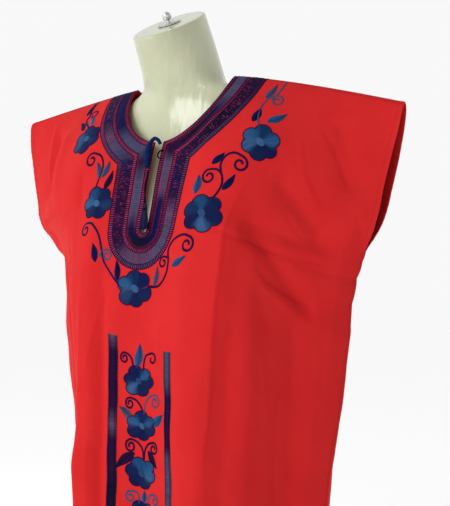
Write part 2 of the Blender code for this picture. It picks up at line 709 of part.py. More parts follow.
def ties(drape):
    """The thick bow end, the thin cord with its tassel, and the small loop across the slit."""
    tie("tie_bow", drape, BOW_ROUTE, TIE_THICK)
    cord = tie("tie_cord", drape, CORD_ROUTE, TIE_THIN)
    tie("tie_loop", drape, LOOP_ROUTE, TIE_THIN)
    foot_u, foot_v, _ = CORD_ROUTE[-1]
    lift = CLOTH + BORDER_RISE + TIE_CLEAR + TASSEL_HALF * TASSEL_FLAT
    start = cord[-1] + (cord[-1] - cord[-2]).normalized() * TASSEL_GAP
    end = Vector(drape.point(foot_u + TASSEL_SWING, foot_v + TASSEL_LENGTH, lift))
    out = Vector(drape.sample(drape.normal, foot_u, foot_v + TASSEL_LENGTH / 2))
    tassel("tie_tassel", start, (end - start).normalized(), out)


def build():
    clear_scene()
    front = Drape(FRONT, FRONT_FOLDS, -1)
    back = Drape(BACK, BACK_FOLDS, 1)
    back.meet(front)
    panel("front_panel", front, NECK_FRONT, True)
    panel("back_panel", back, NECK_BACK, False)
    ties(front)
    dress_form()
    stand()


build()
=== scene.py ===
"""Looks of the embroidered blouse on its dress form.

The cloth, its embroidery and its stitching lie on the same drape as the solids. Flat coordinates are
in metres: u runs across a panel from its centre, + to the wearer's left, and v down from the shoulder.
The tables whose comments say so are in millimetres.
"""
import math

import bpy
import numpy as np
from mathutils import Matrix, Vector
from mathutils.geometry import delaunay_2d_cdt


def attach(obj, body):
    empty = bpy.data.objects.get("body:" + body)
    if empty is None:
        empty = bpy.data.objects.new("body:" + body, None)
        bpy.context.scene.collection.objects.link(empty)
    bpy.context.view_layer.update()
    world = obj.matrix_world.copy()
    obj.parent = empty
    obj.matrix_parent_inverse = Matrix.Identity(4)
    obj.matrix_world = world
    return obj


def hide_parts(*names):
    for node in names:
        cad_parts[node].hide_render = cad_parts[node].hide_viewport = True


def metres(table):
    """A table in millimetres, turned into metres."""
    return tuple(metres(part) if isinstance(part, tuple) else part / 1000 for part in table)


# Cloth and cut, as in the solids
SHOULDER_Z = 0.920
CLOTH = 0.0012
SEAM_REACH = 0.012
LENGTH = 0.745
ARMHOLE = 0.225
CUT_COLUMNS = ("down", "half")
CUT = (
    (0.000, 0.376),
    (0.225, 0.379),
    (0.330, 0.380),
    (0.460, 0.368),
    (0.580, 0.350),
    (0.745, 0.338),
)
HALF_TOP = CUT[0][1]
HALF_HEM = CUT[-1][1]
NECK_HALF = 0.099
NECK_FRONT = 0.120
NECK_BACK = 0.080
SLIT_END = 0.2615
SLIT_TOP_HALF = 0.0085
SLIT_END_HALF = 0.0078
BORDER = 0.057
SPREAD_TOP = 1.18
SPREAD_END = 1.06
BORDER_RISE = 0.0009

# Shoulder line and side seams
TIP_DROP_LEFT = 0.062
TIP_DROP_RIGHT = 0.027
TIP_BACK_LEFT = 0.045
TIP_BACK_RIGHT = 0.024
SIDE_BACK_LEFT = 0.045
SIDE_BACK_RIGHT = 0.062
SHOULDER_ROUND = 0.006
TIP_CURVE = 1.2
EDGE_FADE = 0.05
SEAM_FADE = 0.03
BELOW_START = 0.19
BELOW_RUN = 0.11
PAST_EDGE = 1.1             # the drape goes on this far past the edge, as a share of the half width
STEEPEST = 0.12             # least run across in a step, so that a steep fold stays smooth

# Depth of the cloth away from the shoulder line, as in the solids
DEPTH_COLUMNS = ("down", "centre", "ridge", "ridge_u", "edge", "turn")
FRONT = (
    (0.000, 0.000, 0.000, 0.150, 0.000, 0.40),
    (0.040, 0.022, 0.026, 0.150, 0.003, 0.40),
    (0.080, 0.043, 0.050, 0.150, 0.006, 0.36),
    (0.120, 0.061, 0.070, 0.151, 0.007, 0.30),
    (0.180, 0.079, 0.092, 0.153, 0.004, 0.20),
    (0.220, 0.089, 0.106, 0.154, 0.001, 0.12),
    (0.270, 0.101, 0.122, 0.153, 0.000, 0.07),
    (0.330, 0.112, 0.131, 0.148, 0.000, 0.05),
    (0.420, 0.115, 0.135, 0.138, 0.000, 0.04),
    (0.560, 0.112, 0.135, 0.126, 0.000, 0.04),
    (0.745, 0.108, 0.134, 0.120, 0.000, 0.05),
)
BACK = (
    (0.000, 0.000, 0.000, 0.130, 0.000, 0.40),
    (0.040, 0.039, 0.030, 0.130, 0.003, 0.40),
    (0.080, 0.076, 0.062, 0.130, 0.006, 0.36),
    (0.120, 0.098, 0.086, 0.130, 0.007, 0.36),
    (0.180, 0.112, 0.105, 0.132, 0.004, 0.40),
    (0.220, 0.117, 0.113, 0.133, 0.001, 0.45),
    (0.300, 0.120, 0.121, 0.134, 0.000, 0.50),
    (0.420, 0.118, 0.122, 0.136, 0.000, 0.48),
    (0.560, 0.114, 0.114, 0.138, 0.000, 0.38),
    (0.745, 0.110, 0.108, 0.140, 0.000, 0.30),
)

# Large folds, as in the solids: a soft ridge (out) or trough (minus) along a line on the flat panel, in mm
FOLD_COLUMNS = ("u0", "v0", "u1", "v1", "width", "out")
FOLD_START = 0.25
FOLD_FADE = 0.20
FRONT_FOLDS = metres((
    (345, 225, 205, 250, 16, -5),
    (185, 240, 300, 330, 18, -6),
    (215, 165, 300, 215, 16, -4),
    (290, 40, 330, 130, 20, -4),
    (210, 330, 190, 740, 26, 6),
    (290, 300, 270, 740, 22, -5),
    (-165, 120, -145, 560, 55, -14),
    (-345, 225, -215, 260, 18, -6),
    (-225, 230, -190, 740, 24, -8),
    (-270, 40, -300, 150, 22, -5),
    (-235, 50, -250, 160, 20, 4),
    (-290, 300, -270, 740, 26, 6),
))
BACK_FOLDS = metres((
    (50, 200, 70, 745, 24, -7),
    (200, 240, 215, 745, 24, -9),
    (290, 260, 285, 745, 22, 3),
    (-60, 230, -85, 745, 26, -8),
    (-205, 250, -215, 745, 22, -8),
    (-285, 260, -290, 745, 24, 6),
    (345, 225, 230, 260, 18, -5),
    (-345, 225, -220, 255, 18, -5),
    (280, 40, 310, 150, 22, -4),
    (-280, 45, -315, 140, 22, -4),
))

# Fine creases of the cloth: width, height out, then the flat points that they follow, in mm
FRONT_CREASES = metres((
    (3.6, 2.6, (188, 150), (172, 210), (160, 262), (159, 315), (153, 381), (148, 455), (144, 530),
     (135, 605), (131, 700)),
    (16, -2, (182, 290), (178, 400), (168, 560), (157, 760)),
    (4, -2.6, (384, 240), (325, 258), (250, 270), (170, 272), (110, 262)),
    (4.5, 1.4, (376, 262), (335, 276), (290, 292)),
    (7, -3.8, (208, 302), (240, 314), (286, 324), (323, 332)),
    (5, 1.4, (214, 318), (260, 338), (310, 352)),
    (3.4, -1.4, (240, 204), (273, 230), (321, 235)),
    (5.5, -1.5, (262, 60), (300, 98), (336, 150)),
    (5, 1.1, (240, 90), (262, 150), (296, 190)),
    (6, 1.2, (225, 400), (236, 500), (232, 640)),
    (7, -1.2, (260, 420), (252, 560), (256, 700)),
    (6, 1.3, (330, 360), (318, 480), (306, 620)),
    (6, 3, (-290, 16), (-300, 75), (-308, 145)),
    (6, -1.8, (-272, 30), (-284, 90), (-290, 160)),
    (7, -3, (-151, 158), (-150, 190), (-146, 227)),
    (6, -5, (-345, 196), (-270, 206), (-210, 216), (-160, 228)),
    (5, 1.6, (-350, 222), (-290, 236), (-230, 246)),
    (23, -9.5, (-72, 265), (-75, 400), (-77, 560), (-78, 860)),
    (10, -4.5, (-67, 275), (-70, 400), (-72, 560), (-73, 860)),
    (3.4, 1.5, (-60, 318), (-76, 380), (-93, 440), (-108, 505)),
    (9, 3, (-112, 290), (-118, 420), (-122, 560), (-124, 780)),
    (8, -3, (-172, 250), (-166, 360), (-160, 500)),
    (6, 1.4, (-240, 280), (-236, 420), (-232, 600)),
    (5, 1, (40, 380), (46, 420), (50, 470)),
    (6, -1, (-30, 400), (-36, 560), (-34, 720)),
))
BACK_CREASES = metres((
    (6, 1.6, (20, 180), (24, 320), (18, 480), (22, 640)),
    (7, -1.8, (-12, 210), (-16, 360), (-10, 560)),
    (6, -2, (376, 240), (320, 256), (256, 270)),
    (5, 1.4, (360, 262), (300, 282), (240, 300)),
    (6, -2, (-376, 240), (-320, 252), (-250, 262)),
    (5, 1.4, (-352, 260), (-296, 276), (-240, 290)),
    (6, 1.5, (150, 230), (156, 380), (162, 560), (160, 720)),
    (6, -1.6, (118, 300), (122, 460), (116, 640)),
    (6, 1.5, (-140, 240), (-150, 420), (-148, 620)),
    (6, -1.6, (-170, 300), (-174, 480), (-178, 700)),
    (6, 1.3, (250, 300), (248, 440), (256, 620)),
    (6, -1.3, (-250, 300), (-246, 460), (-254, 640)),
    (5.5, -1.6, (200, 40), (230, 90), (262, 160)),
    (5.5, 1.4, (-210, 50), (-246, 100), (-270, 170)),
    (6, -1.4, (60, 140), (0, 156), (-60, 142)),
))
CREASE_FADE = 0.3           # share of a crease's length over which it grows and fades
CREASE_END = 0.25           # its height near its two ends, as a share of the whole
CREASE_POWER = 1.6

# Waves of the cloth between its creases: height, how many in a metre across and down, and start
WAVES = (
    (0.00045, 9.0, 4.0, 0.6),
    (0.00035, -6.0, 11.0, 2.1),
    (0.00022, 17.0, 9.0, 4.0),
    (0.00015, -23.0, 19.0, 1.3),
)

# Where the creases and waves are held flat
SEAM_CALM = 0.03            # they grow over this distance from a seam
NECK_CALM = 0.15            # share of them that is left at the neck's line
NECK_CALM_START = 0.18      # they grow from here, and over this run, as shares of the neck's size
NECK_CALM_RUN = 0.9

# Spacing of the cloth's points and finish of its edges
CLOTH_STEP_FRONT = 0.0037
CLOTH_STEP_BACK = 0.0050
CLOTH_INNER = 0.0002
HEM_SLEEVE = 0.010
HEM_FOOT = 0.020
HEM_RISE = 0.0006
HEM_FADE = 0.012            # the sleeve's hem runs out this far above the armhole's end
HEM_ROW = 0.0022            # its row of stitches lies this far outside its fold
HEM_GROOVE = 0.0005
GROOVE_HALF = 0.0011
PUCKER = 0.00022
PUCKER_LENGTH = 0.011
STITCH_LONG = 0.0030
STITCH_WIDTH = 0.0007
STITCH_RISE = 0.0004
STITCH_GAP = 0.0042         # from the start of a stitch to the start of the next
SEAM_ROW = 0.0035           # rows beside the side seams and the shoulder seams
SHOULDER_ROW = 0.0042
ROW_MARGIN = 0.006          # rows keep this far from the cut's ends, and from the border and armholes
ROW_BEGIN = 0.004
TIP_MARGIN = 0.008
WELT_HALF = 0.0009
WELT_LIFT = 0.0006
SIDE_WELT = (ARMHOLE - 0.004, LENGTH - 0.002, 140)      # from, to, and number of points
SHOULDER_WELT = (NECK_HALF + 0.002, HALF_TOP - 0.003, 80)

# Thread colours, as light reflected in red, green and blue
NAVY = (0.003, 0.006, 0.058)
BLACK_BLUE = (0.003, 0.003, 0.020)
STEEL = (0.062, 0.066, 0.135)
TEAL = (0.015, 0.075, 0.200)
PALE = (0.048, 0.125, 0.270)
GREY_MAUVE = (0.100, 0.055, 0.120)
BOW_BLUE = (0.006, 0.018, 0.090)
PURPLE = (0.018, 0.003, 0.035)
DEEP_RED = (0.200, 0.006, 0.035)
PINK = (0.400, 0.035, 0.085)
FLECK = (0.230, 0.020, 0.070)

# Bands of the border, outwards from the edge: kind, and where it starts and ends
BANDS = (
    ("ladder", 0.0000, 0.0080),
    ("satin", 0.0073, 0.0247),
    ("ladder", 0.0240, 0.0320),
    ("zigzag", 0.0313, 0.0487),
    ("ladder", 0.0480, 0.0570),
)
SATIN_PITCH = 0.00075
ZIGZAG_PITCH = 0.00105
RUNG_PITCH = 0.0036
FLECK_SHARE = 0.10           # how much of the zigzag shows small light flecks
THREAD_RISE = 0.00050
THREAD_BASE = 0.00025       # threads start this far above the cloth's outer face
THREAD_OVERLAP = 1.28       # a thread's width as a share of its spacing
ROPE_PITCH = 0.0016         # spacing of the stitches along a stem
GROUND_PITCH = SATIN_PITCH * 1.5
GROUND_RISE = THREAD_RISE * 0.35
SATIN_SLANT = 0.0008
ZIGZAG_SLANT = 0.0052
ZIGZAG_STATIONS = 7
ZIGZAG_LIFT = 0.00015
RUNG_WIDTH = 0.0017
RUNG_INSET = 0.00096
RAIL_WIDTH = 0.0015
RAIL_INSET = 0.0006
RAIL_LIFT = 0.0001
RAIL_STEP = 0.002

# Colour along the border: 0 at the wearer's left shoulder, 1 at the foot of the slit, 2 at the right shoulder
SATIN_TONES = (
    (0.00, STEEL), (0.12, STEEL), (0.22, NAVY), (0.34, BLACK_BLUE), (0.46, PURPLE), (0.52, PURPLE),
    (0.58, STEEL), (0.70, GREY_MAUVE), (0.76, NAVY), (0.90, NAVY), (1.02, BLACK_BLUE), (1.12, NAVY),
    (1.20, STEEL), (1.34, STEEL), (1.44, PURPLE), (1.52, STEEL), (1.64, STEEL), (1.74, NAVY), (2.00, NAVY),
)
ZIGZAG_TONES = (
    (0.00, PURPLE), (0.30, BLACK_BLUE), (0.48, PURPLE), (0.58, NAVY), (0.66, PURPLE), (0.74, GREY_MAUVE),
    (0.88, STEEL), (0.96, GREY_MAUVE), (1.06, GREY_MAUVE), (1.14, PURPLE), (1.42, PURPLE), (1.50, NAVY),
    (1.60, STEEL), (1.70, GREY_MAUVE), (1.80, NAVY), (2.00, NAVY),
)
RUNG_TONES = (
    (0.00, DEEP_RED), (0.40, PINK), (0.90, DEEP_RED), (1.10, PINK), (1.60, PINK), (2.00, DEEP_RED),
)
OUTER_RUNG_TONES = (
    (0.00, PURPLE), (0.24, GREY_MAUVE), (0.50, GREY_MAUVE), (0.80, PINK), (0.92, GREY_MAUVE),
    (1.10, GREY_MAUVE), (1.22, PINK), (1.46, DEEP_RED), (1.56, GREY_MAUVE), (1.80, PINK), (2.00, DEEP_RED),
)

# Flowers on the flat front: across, down, half width and half height in mm, turn in degrees, then how
# light each petal is, starting on the wearer's left and going down
FLOWERS = (
    (187, 122, 31, 29, 30, (0.1, 0.15, 0.75, 0.95, 0.45, 0.85)),
    (121, 248, 35, 28.5, 12, (0.1, 0.75, 0.05, 0.3, 0.7, 0.15)),
    (-5, 355, 35, 29, 20, (0.15, 0.1, 0.4, 0.8, 0.3, 0.08)),
    (-100, 222, 34, 29, 5, (0.35, 0.1, 0.2, 0.85, 0.6, 0.15)),
    (-163, 99, 32, 28, 22, (0.2, 0.15, 0.6, 0.7, 0.35, 0.1)),
    (3, 495.5, 32, 22.8, 8, (0.12, 0.1, 0.75, 0.1, 0.08, 0.8)),
    (8, 564, 32, 22.8, 24, (0.2, 0.05, 0.12, 0.85, 0.25, 0.7)),
    (6, 637, 33, 25, 14, (0.75, 0.15, 0.08, 0.12, 0.7, 0.8)),
    (6, 701, 30, 22, 4, (0.15, 0.1, 0.4, 0.7, 0.12, 0.35)),
)
PETAL_OUT = 0.58
PETAL_SIZE = 0.42
PETAL_FAN = 1.06            # its threads fan out this much past its share of the circle
PETAL_CURVE = 0.12          # how far they bow aside, in radians
PETAL_OVERLAP = 1.3
PETAL_LEAST = 0.00012       # least width of a petal's thread
PETAL_DOME = 0.0004
PETAL_STEP = 0.00012        # every other petal lies this much higher
HEART_SHARE = 0.12          # the petals' threads start this far out, as a share of the flower's size
HEART_SIZE = 0.26
HEART_THREADS = 14
HEART_LIFT = 0.0005
RIM_OUT = 0.012             # the rim runs this far outside the petals, as a share of the flower's size
RIM_WIDTH = 0.0015
RIM_LIFT = 0.00025
RIM_PITCH = 0.0014

# Leaves: tone, then in mm the base across and down, the tip across and down, and the width
LEAVES = (
    (NAVY, 166, 92, 170, 64, 12.5),
    (TEAL, 188, 87, 213, 64, 12),
    (STEEL, 170, 44, 178, 12, 11),
    (NAVY, 118.5, 169.5, 136.5, 150, 11),
    (TEAL, 101, 218, 100, 187, 14),
    (NAVY, 146, 209, 161, 181.5, 11),
    (TEAL, 73.5, 325, 103, 313, 11.5),
    (STEEL, 35, 352, 40, 322, 11),
    (NAVY, -85, 318, -93, 288, 12),
    (NAVY, -40, 344, -44, 312, 12),
    (STEEL, -104, 180, -118, 150, 12),
    (STEEL, -100, 178, -90, 150, 12),
    (PURPLE, -90, 198, -80, 166, 12.5),
    (NAVY, -202, 36, -196, 8, 11),
    (PALE, -166, 70, -180, 46, 11.5),
    (NAVY, -186, 74, -206, 52, 11),
    (TEAL, -1, 476, 6, 438, 16),
    (STEEL, -10, 556, -37, 538, 13),
    (TEAL, 30, 562, 56, 545, 15),
    (PURPLE, -8, 606, -44, 634, 15),
    (PURPLE, 20, 601, 41, 626, 12),
    (TEAL, 8, 683, 10, 662, 11),
)
LEAF_BOW = 0.05             # how far a leaf's middle line bows aside, as a share of its length
LEAF_SLANT = 0.75
VEIN_WIDTH = 0.0009
VEIN_LIFT = 0.0002
CURL_STEPS = 40
CURL_TIGHTENING = 0.72      # how much smaller a curl's radius is at its end

# Stems: tone, width, the curl at the end as radius, turns and side, then the flat points they pass; in mm
STEMS = (
    (PURPLE, 4, None, (130, 230), (140, 212), (143, 196), (137, 180)),
    (PURPLE, 3.6, (12, 1.25, -1), (139, 184), (130, 178), (118, 178)),
    (PURPLE, 3.8, (12.5, 1.2, 1), (137, 182), (134, 168), (140, 154), (153, 148), (168, 152)),
    (GREY_MAUVE, 3.7, (10.8, 1.25, 1), (178, 98), (172, 82), (170, 62), (174, 45), (182, 37)),
    (STEEL, 3.6, None, (181, 44), (187, 26), (190, 4)),
    (PURPLE, 4, (12.5, 1.25, 1), (22, 352), (44, 352), (60, 336), (64, 318), (62, 300), (72, 285),
     (90, 280), (106, 284)),
    (PURPLE, 3.4, (9, 1.15, -1), (65, 312), (55, 309)),
    (NAVY, 3.8, (11.5, 1.2, -1), (-30, 356), (-50, 338), (-68, 318), (-74, 300), (-84, 274), (-100, 257),
     (-114, 254)),
    (STEEL, 3.6, (9.2, 1.2, 1), (-78, 309), (-74, 299), (-66, 297)),
    (PURPLE, 3.8, (12.5, 1.2, -1), (-112, 200), (-106, 176), (-103, 156), (-112, 140), (-128, 133)),
    (NAVY, 3.7, (11, 1, 1), (-170, 76), (-184, 62), (-194, 50), (-190, 38)),
    (NAVY, 3.6, None, (-190, 44), (-194, 26), (-190, 4)),
    (PURPLE, 3.4, (8.8, 1.4, -1), (-10, 484), (-9, 470), (-13, 459), (-21, 454)),
    (PURPLE, 3.4, (9.2, 0.95, 1), (14, 484), (14, 470), (19, 457), (30, 453)),
    (PURPLE, 3.4, (9.2, 1.4, -1), (12, 552), (9, 538), (-1, 526), (-13, 522)),
    (STEEL, 3.4, (11, 1.35, 1), (13, 548), (15, 532), (23, 520), (34, 516)),
    (PURPLE, 3.6, (10.5, 1.4, -1), (10, 616), (8, 600), (-1, 590), (-12, 586)),
    (PURPLE, 3.6, (9.5, 1.35, 1), (11, 616), (13, 602), (20, 591), (30, 588)),
    (STEEL, 3.6, (9, 1.2, -1), (0, 684), (-2, 672), (-8, 666), (-18, 666)),
    (STEEL, 3.6, (8.5, 1.2, 1), (18, 684), (20, 672), (26, 667), (36, 667)),
)

# The two long bands beside the flower column: across at the top and at the hem, where it starts, its
# width, and its tones from top to hem
LONG_BANDS = (
    (-0.047, -0.054, 0.428, 0.0215, ((0.0, GREY_MAUVE), (0.08, PURPLE), (0.38, PURPLE), (0.47, GREY_MAUVE),
                                     (0.55, PURPLE), (0.72, PURPLE), (0.80, BLACK_BLUE), (1.0, PURPLE))),
    (0.067, 0.073, 0.452, 0.0180, ((0.0, STEEL), (0.16, STEEL), (0.25, NAVY), (0.52, PURPLE),
                                   (0.60, STEEL), (1.0, STEEL))),
)
LONG_BAND_GAP = 0.022       # it ends this far above the hem's edge
BAND_DRIFT = ((0.0006, 41, 0), (0.0004, 97, 1))     # how it wanders: size, rate down it, and start
BAND_RAGGED = 0.0004
BAND_SLANT = 0.0012
TOOTH_THREADS = 5.0
TOOTH_DEPTH = 0.20
LINE_ASIDE = 0.25           # two lines run down the band this far from its middle, as a share of its width
LINE_WIDTH = 0.0008
LINE_PITCH = 0.0030
LINE_LIFT = 0.0003
LINE_EVERY = 4

# Ties, as in the solids. A route's points on the flat front, in mm: across, down, and lift off the cloth
TIE_THICK = 0.0085
TIE_THIN = 0.0026
BOW_FULL = 1.35             # the soft thick end is this much fuller than its solid
TIE_CLEAR = 0.0006
BOW_ROUTE = metres((
    (-8.5, 164, 0),
    (-10, 154, 0),
    (-11, 143, 0),
    (-11.5, 133, 1),
    (-8.5, 124, 3),
    (-2, 119, 4),
    (5, 121, 3),
    (10.5, 127, 1),
))
CORD_ROUTE = metres((
    (-8.5, 169, 0),
    (-8.2, 178, 0),
    (-9.5, 188, 0),
    (-8.5, 198, 0),
    (-6.5, 208, 0),
    (-3.5, 216, 1),
    (-1, 222, 2),
))
LOOP_ROUTE = metres((
    (15, 136, 0),
    (10, 137, 1),
    (6.5, 140, 1),
    (6, 144, 1),
    (8.5, 148, 1),
    (13, 150, 0),
))
CORD_POINTS = 30
BOW_STRANDS = 5
BOW_PITCH = 0.014
BOW_STEP = 0.0007
BOW_FULLNESS = ((0, 0.62), (0.06, 0.96), (0.16, 1.0), (0.45, 0.94), (0.62, 0.56), (1, 0.50))
THIN_STRANDS = 2
THIN_PITCH = 0.0042
THIN_STEP = 0.0005
TASSEL_LENGTH = 0.044
TASSEL_HALF = 0.0080
TASSEL_GAP = 0.0007
TASSEL_SWING = 0.008        # how far the tassel's end hangs to the wearer's left
TASSEL_FLAT = 0.75
TASSEL_THREADS = 64
TASSEL_THREAD_HALF = 0.00052
TASSEL_SPREAD = ((0.00, 0.10), (0.05, 0.34), (0.12, 0.44), (0.20, 0.33), (0.27, 0.34), (0.34, 0.50),
                 (0.60, 0.74), (1.00, 0.90))
BOUND_FROM = 0.19           # the binding round its head starts here and runs on, as shares of its length
BOUND_RUN = 0.09
BOUND_TURNS = 5
BOUND_WIDE = 0.40
BOUND_DEEP = 0.32
BOUND_HALF = 0.00045

# Dress form, heights from the shoulder point, as in the solids
FORM_COLUMNS = ("z", "y", "half", "front", "back", "tilt", "corner")
FORM = (
    (0.090, -0.041, 0.055, 0.062, 0.060, 28.0, 2.0),
    (0.050, -0.021, 0.062, 0.064, 0.062, 14.0, 2.0),
    (0.012, -0.004, 0.067, 0.064, 0.063, 4.0, 2.0),
    (-0.006, 0.002, 0.078, 0.062, 0.062, 0.0, 1.7),
    (-0.014, 0.004, 0.104, 0.060, 0.059, 0.0, 1.3),
    (-0.024, 0.006, 0.135, 0.058, 0.058, 0.0, 1.2),
    (-0.038, 0.008, 0.160, 0.056, 0.062, 0.0, 1.3),
    (-0.058, 0.010, 0.176, 0.055, 0.066, 0.0, 1.5),
    (-0.085, 0.011, 0.184, 0.058, 0.074, 0.0, 1.8),
    (-0.120, 0.009, 0.184, 0.066, 0.085, 0.0, 2.0),
    (-0.180, 0.004, 0.174, 0.081, 0.096, 0.0, 2.0),
    (-0.270, 0.000, 0.161, 0.100, 0.096, 0.0, 2.0),
    (-0.350, 0.002, 0.146, 0.084, 0.086, 0.0, 2.0),
    (-0.440, 0.006, 0.124, 0.068, 0.074, 0.0, 2.0),
    (-0.540, 0.008, 0.155, 0.082, 0.086, 0.0, 2.0),
    (-0.620, 0.008, 0.168, 0.090, 0.091, 0.0, 2.0),
    (-0.640, 0.008, 0.164, 0.088, 0.089, 0.0, 2.0),
)
FORM_SIDES = 96
FORM_STEP = 0.0065
FORM_INSET = 0.0004         # the moulded shell stays this much inside the solid
RIM = 0.004                 # rounding of the form's two edges
RIM_RINGS = 6

# Camera: where it stands, level, and how far the frame is shifted
CAMERA_AWAY = 1.70
CAMERA_AZIMUTH = 38.0
CAMERA_Z = 0.603
LENS = 75.0
SHIFT_X = 0.079
SHIFT_Y = 0.0553

# Surroundings: pale, with a darker part up on the wearer's left, where no lamp stands
DARK_SIDE = (0.62, -0.33, 0.71)
ROOM_LEVELS = ((0.30, 0.94), (0.92, 0.37))
FLOOR = 12.0
FLOOR_DROP = 0.0005

# Soft lights: name, direction in degrees, height, distance, width and height, strength
LIGHTS_AIM = 0.62
LIGHTS = (
    ("front_left_light", -18, 1.30, 2.1, (0.9, 1.2), 6.0),
    ("narrow_light", 22, 1.20, 1.9, (0.10, 1.0), 8.0),
)


def smooth_column(rows, columns, name, at):
    """A table's column as a smooth curve of its first column, with no overshoot."""
    xs = np.array([row[0] for row in rows])
    order = np.argsort(xs)
    xs = xs[order]
    ys = np.array([row[columns.index(name)] for row in rows])[order]
    slopes = np.diff(ys) / np.diff(xs)
    same = slopes[:-1] * slopes[1:] > 0
    mean = 2 * slopes[:-1] * slopes[1:] / np.where(same, slopes[:-1] + slopes[1:], 1.0)
    steep = np.concatenate([slopes[:1], np.where(same, mean, 0.0), slopes[-1:]])
    at = np.clip(np.asarray(at, dtype=float), xs[0], xs[-1])
    k = np.clip(np.searchsorted(xs, at) - 1, 0, len(xs) - 2)
    width = xs[k + 1] - xs[k]
    t = (at - xs[k]) / width
    return ((1 + 2 * t) * (1 - t) ** 2 * ys[k] + t * (1 - t) ** 2 * width * steep[k]
            + t * t * (3 - 2 * t) * ys[k + 1] + t * t * (t - 1) * width * steep[k + 1])


def half_width(v):
    """Half the flat width of a panel, v down from the shoulder."""
    return smooth_column(CUT, CUT_COLUMNS, "half", v)


def smooth_step(value):
    """0 below 0, 1 above 1, and a soft curve between."""
    value = np.clip(value, 0, 1)
    return value * value * (3 - 2 * value)


def fold_depth(u, v, folds):
    """Height of all the large folds at a flat point."""
    total = np.zeros_like(u)
    for row in folds:
        fold = dict(zip(FOLD_COLUMNS, row))
        run_u = fold["u1"] - fold["u0"]
        run_v = fold["v1"] - fold["v0"]
        length = math.hypot(run_u, run_v)
        from_u = u - fold["u0"]
        from_v = v - fold["v0"]
        along = (from_u * run_u + from_v * run_v) / length ** 2
        across = (from_u * run_v - from_v * run_u) / length
        ends = np.clip(along / FOLD_START, 0, 1) * np.clip((1 - along) / FOLD_FADE + 1, 0, 1)
        total += fold["out"] * smooth_step(ends) * np.exp(-(across / fold["width"]) ** 2)
    return total


def crease_height(u, v, creases):
    """Height of all the fine creases at flat points."""
    total = np.zeros_like(u)
    for row in creases:
        width, out = row[:2]
        spots = np.array(row[2:])
        run = np.diff(spots, axis=0)
        lengths = np.hypot(run[:, 0], run[:, 1])
        before = np.concatenate([[0], np.cumsum(lengths)])
        nearest = np.full(u.shape, 1.0)
        place = np.zeros(u.shape)
        for k, (start, way, length) in enumerate(zip(spots, run, lengths)):
            t = np.clip(((u - start[0]) * way[0] + (v - start[1]) * way[1]) / length ** 2, 0, 1)
            away = np.hypot(u - start[0] - way[0] * t, v - start[1] - way[1] * t)
            place = np.where(away < nearest, (before[k] + t * length) / before[-1], place)
            nearest = np.minimum(nearest, away)
        ends = smooth_step(place / CREASE_FADE) * smooth_step((1 - place) / CREASE_FADE)
        ends = (CREASE_END + (1 - CREASE_END) * ends) * np.minimum(1, ends * 4)
        total += out * ends * np.exp(-(nearest / width) ** CREASE_POWER)
    return total


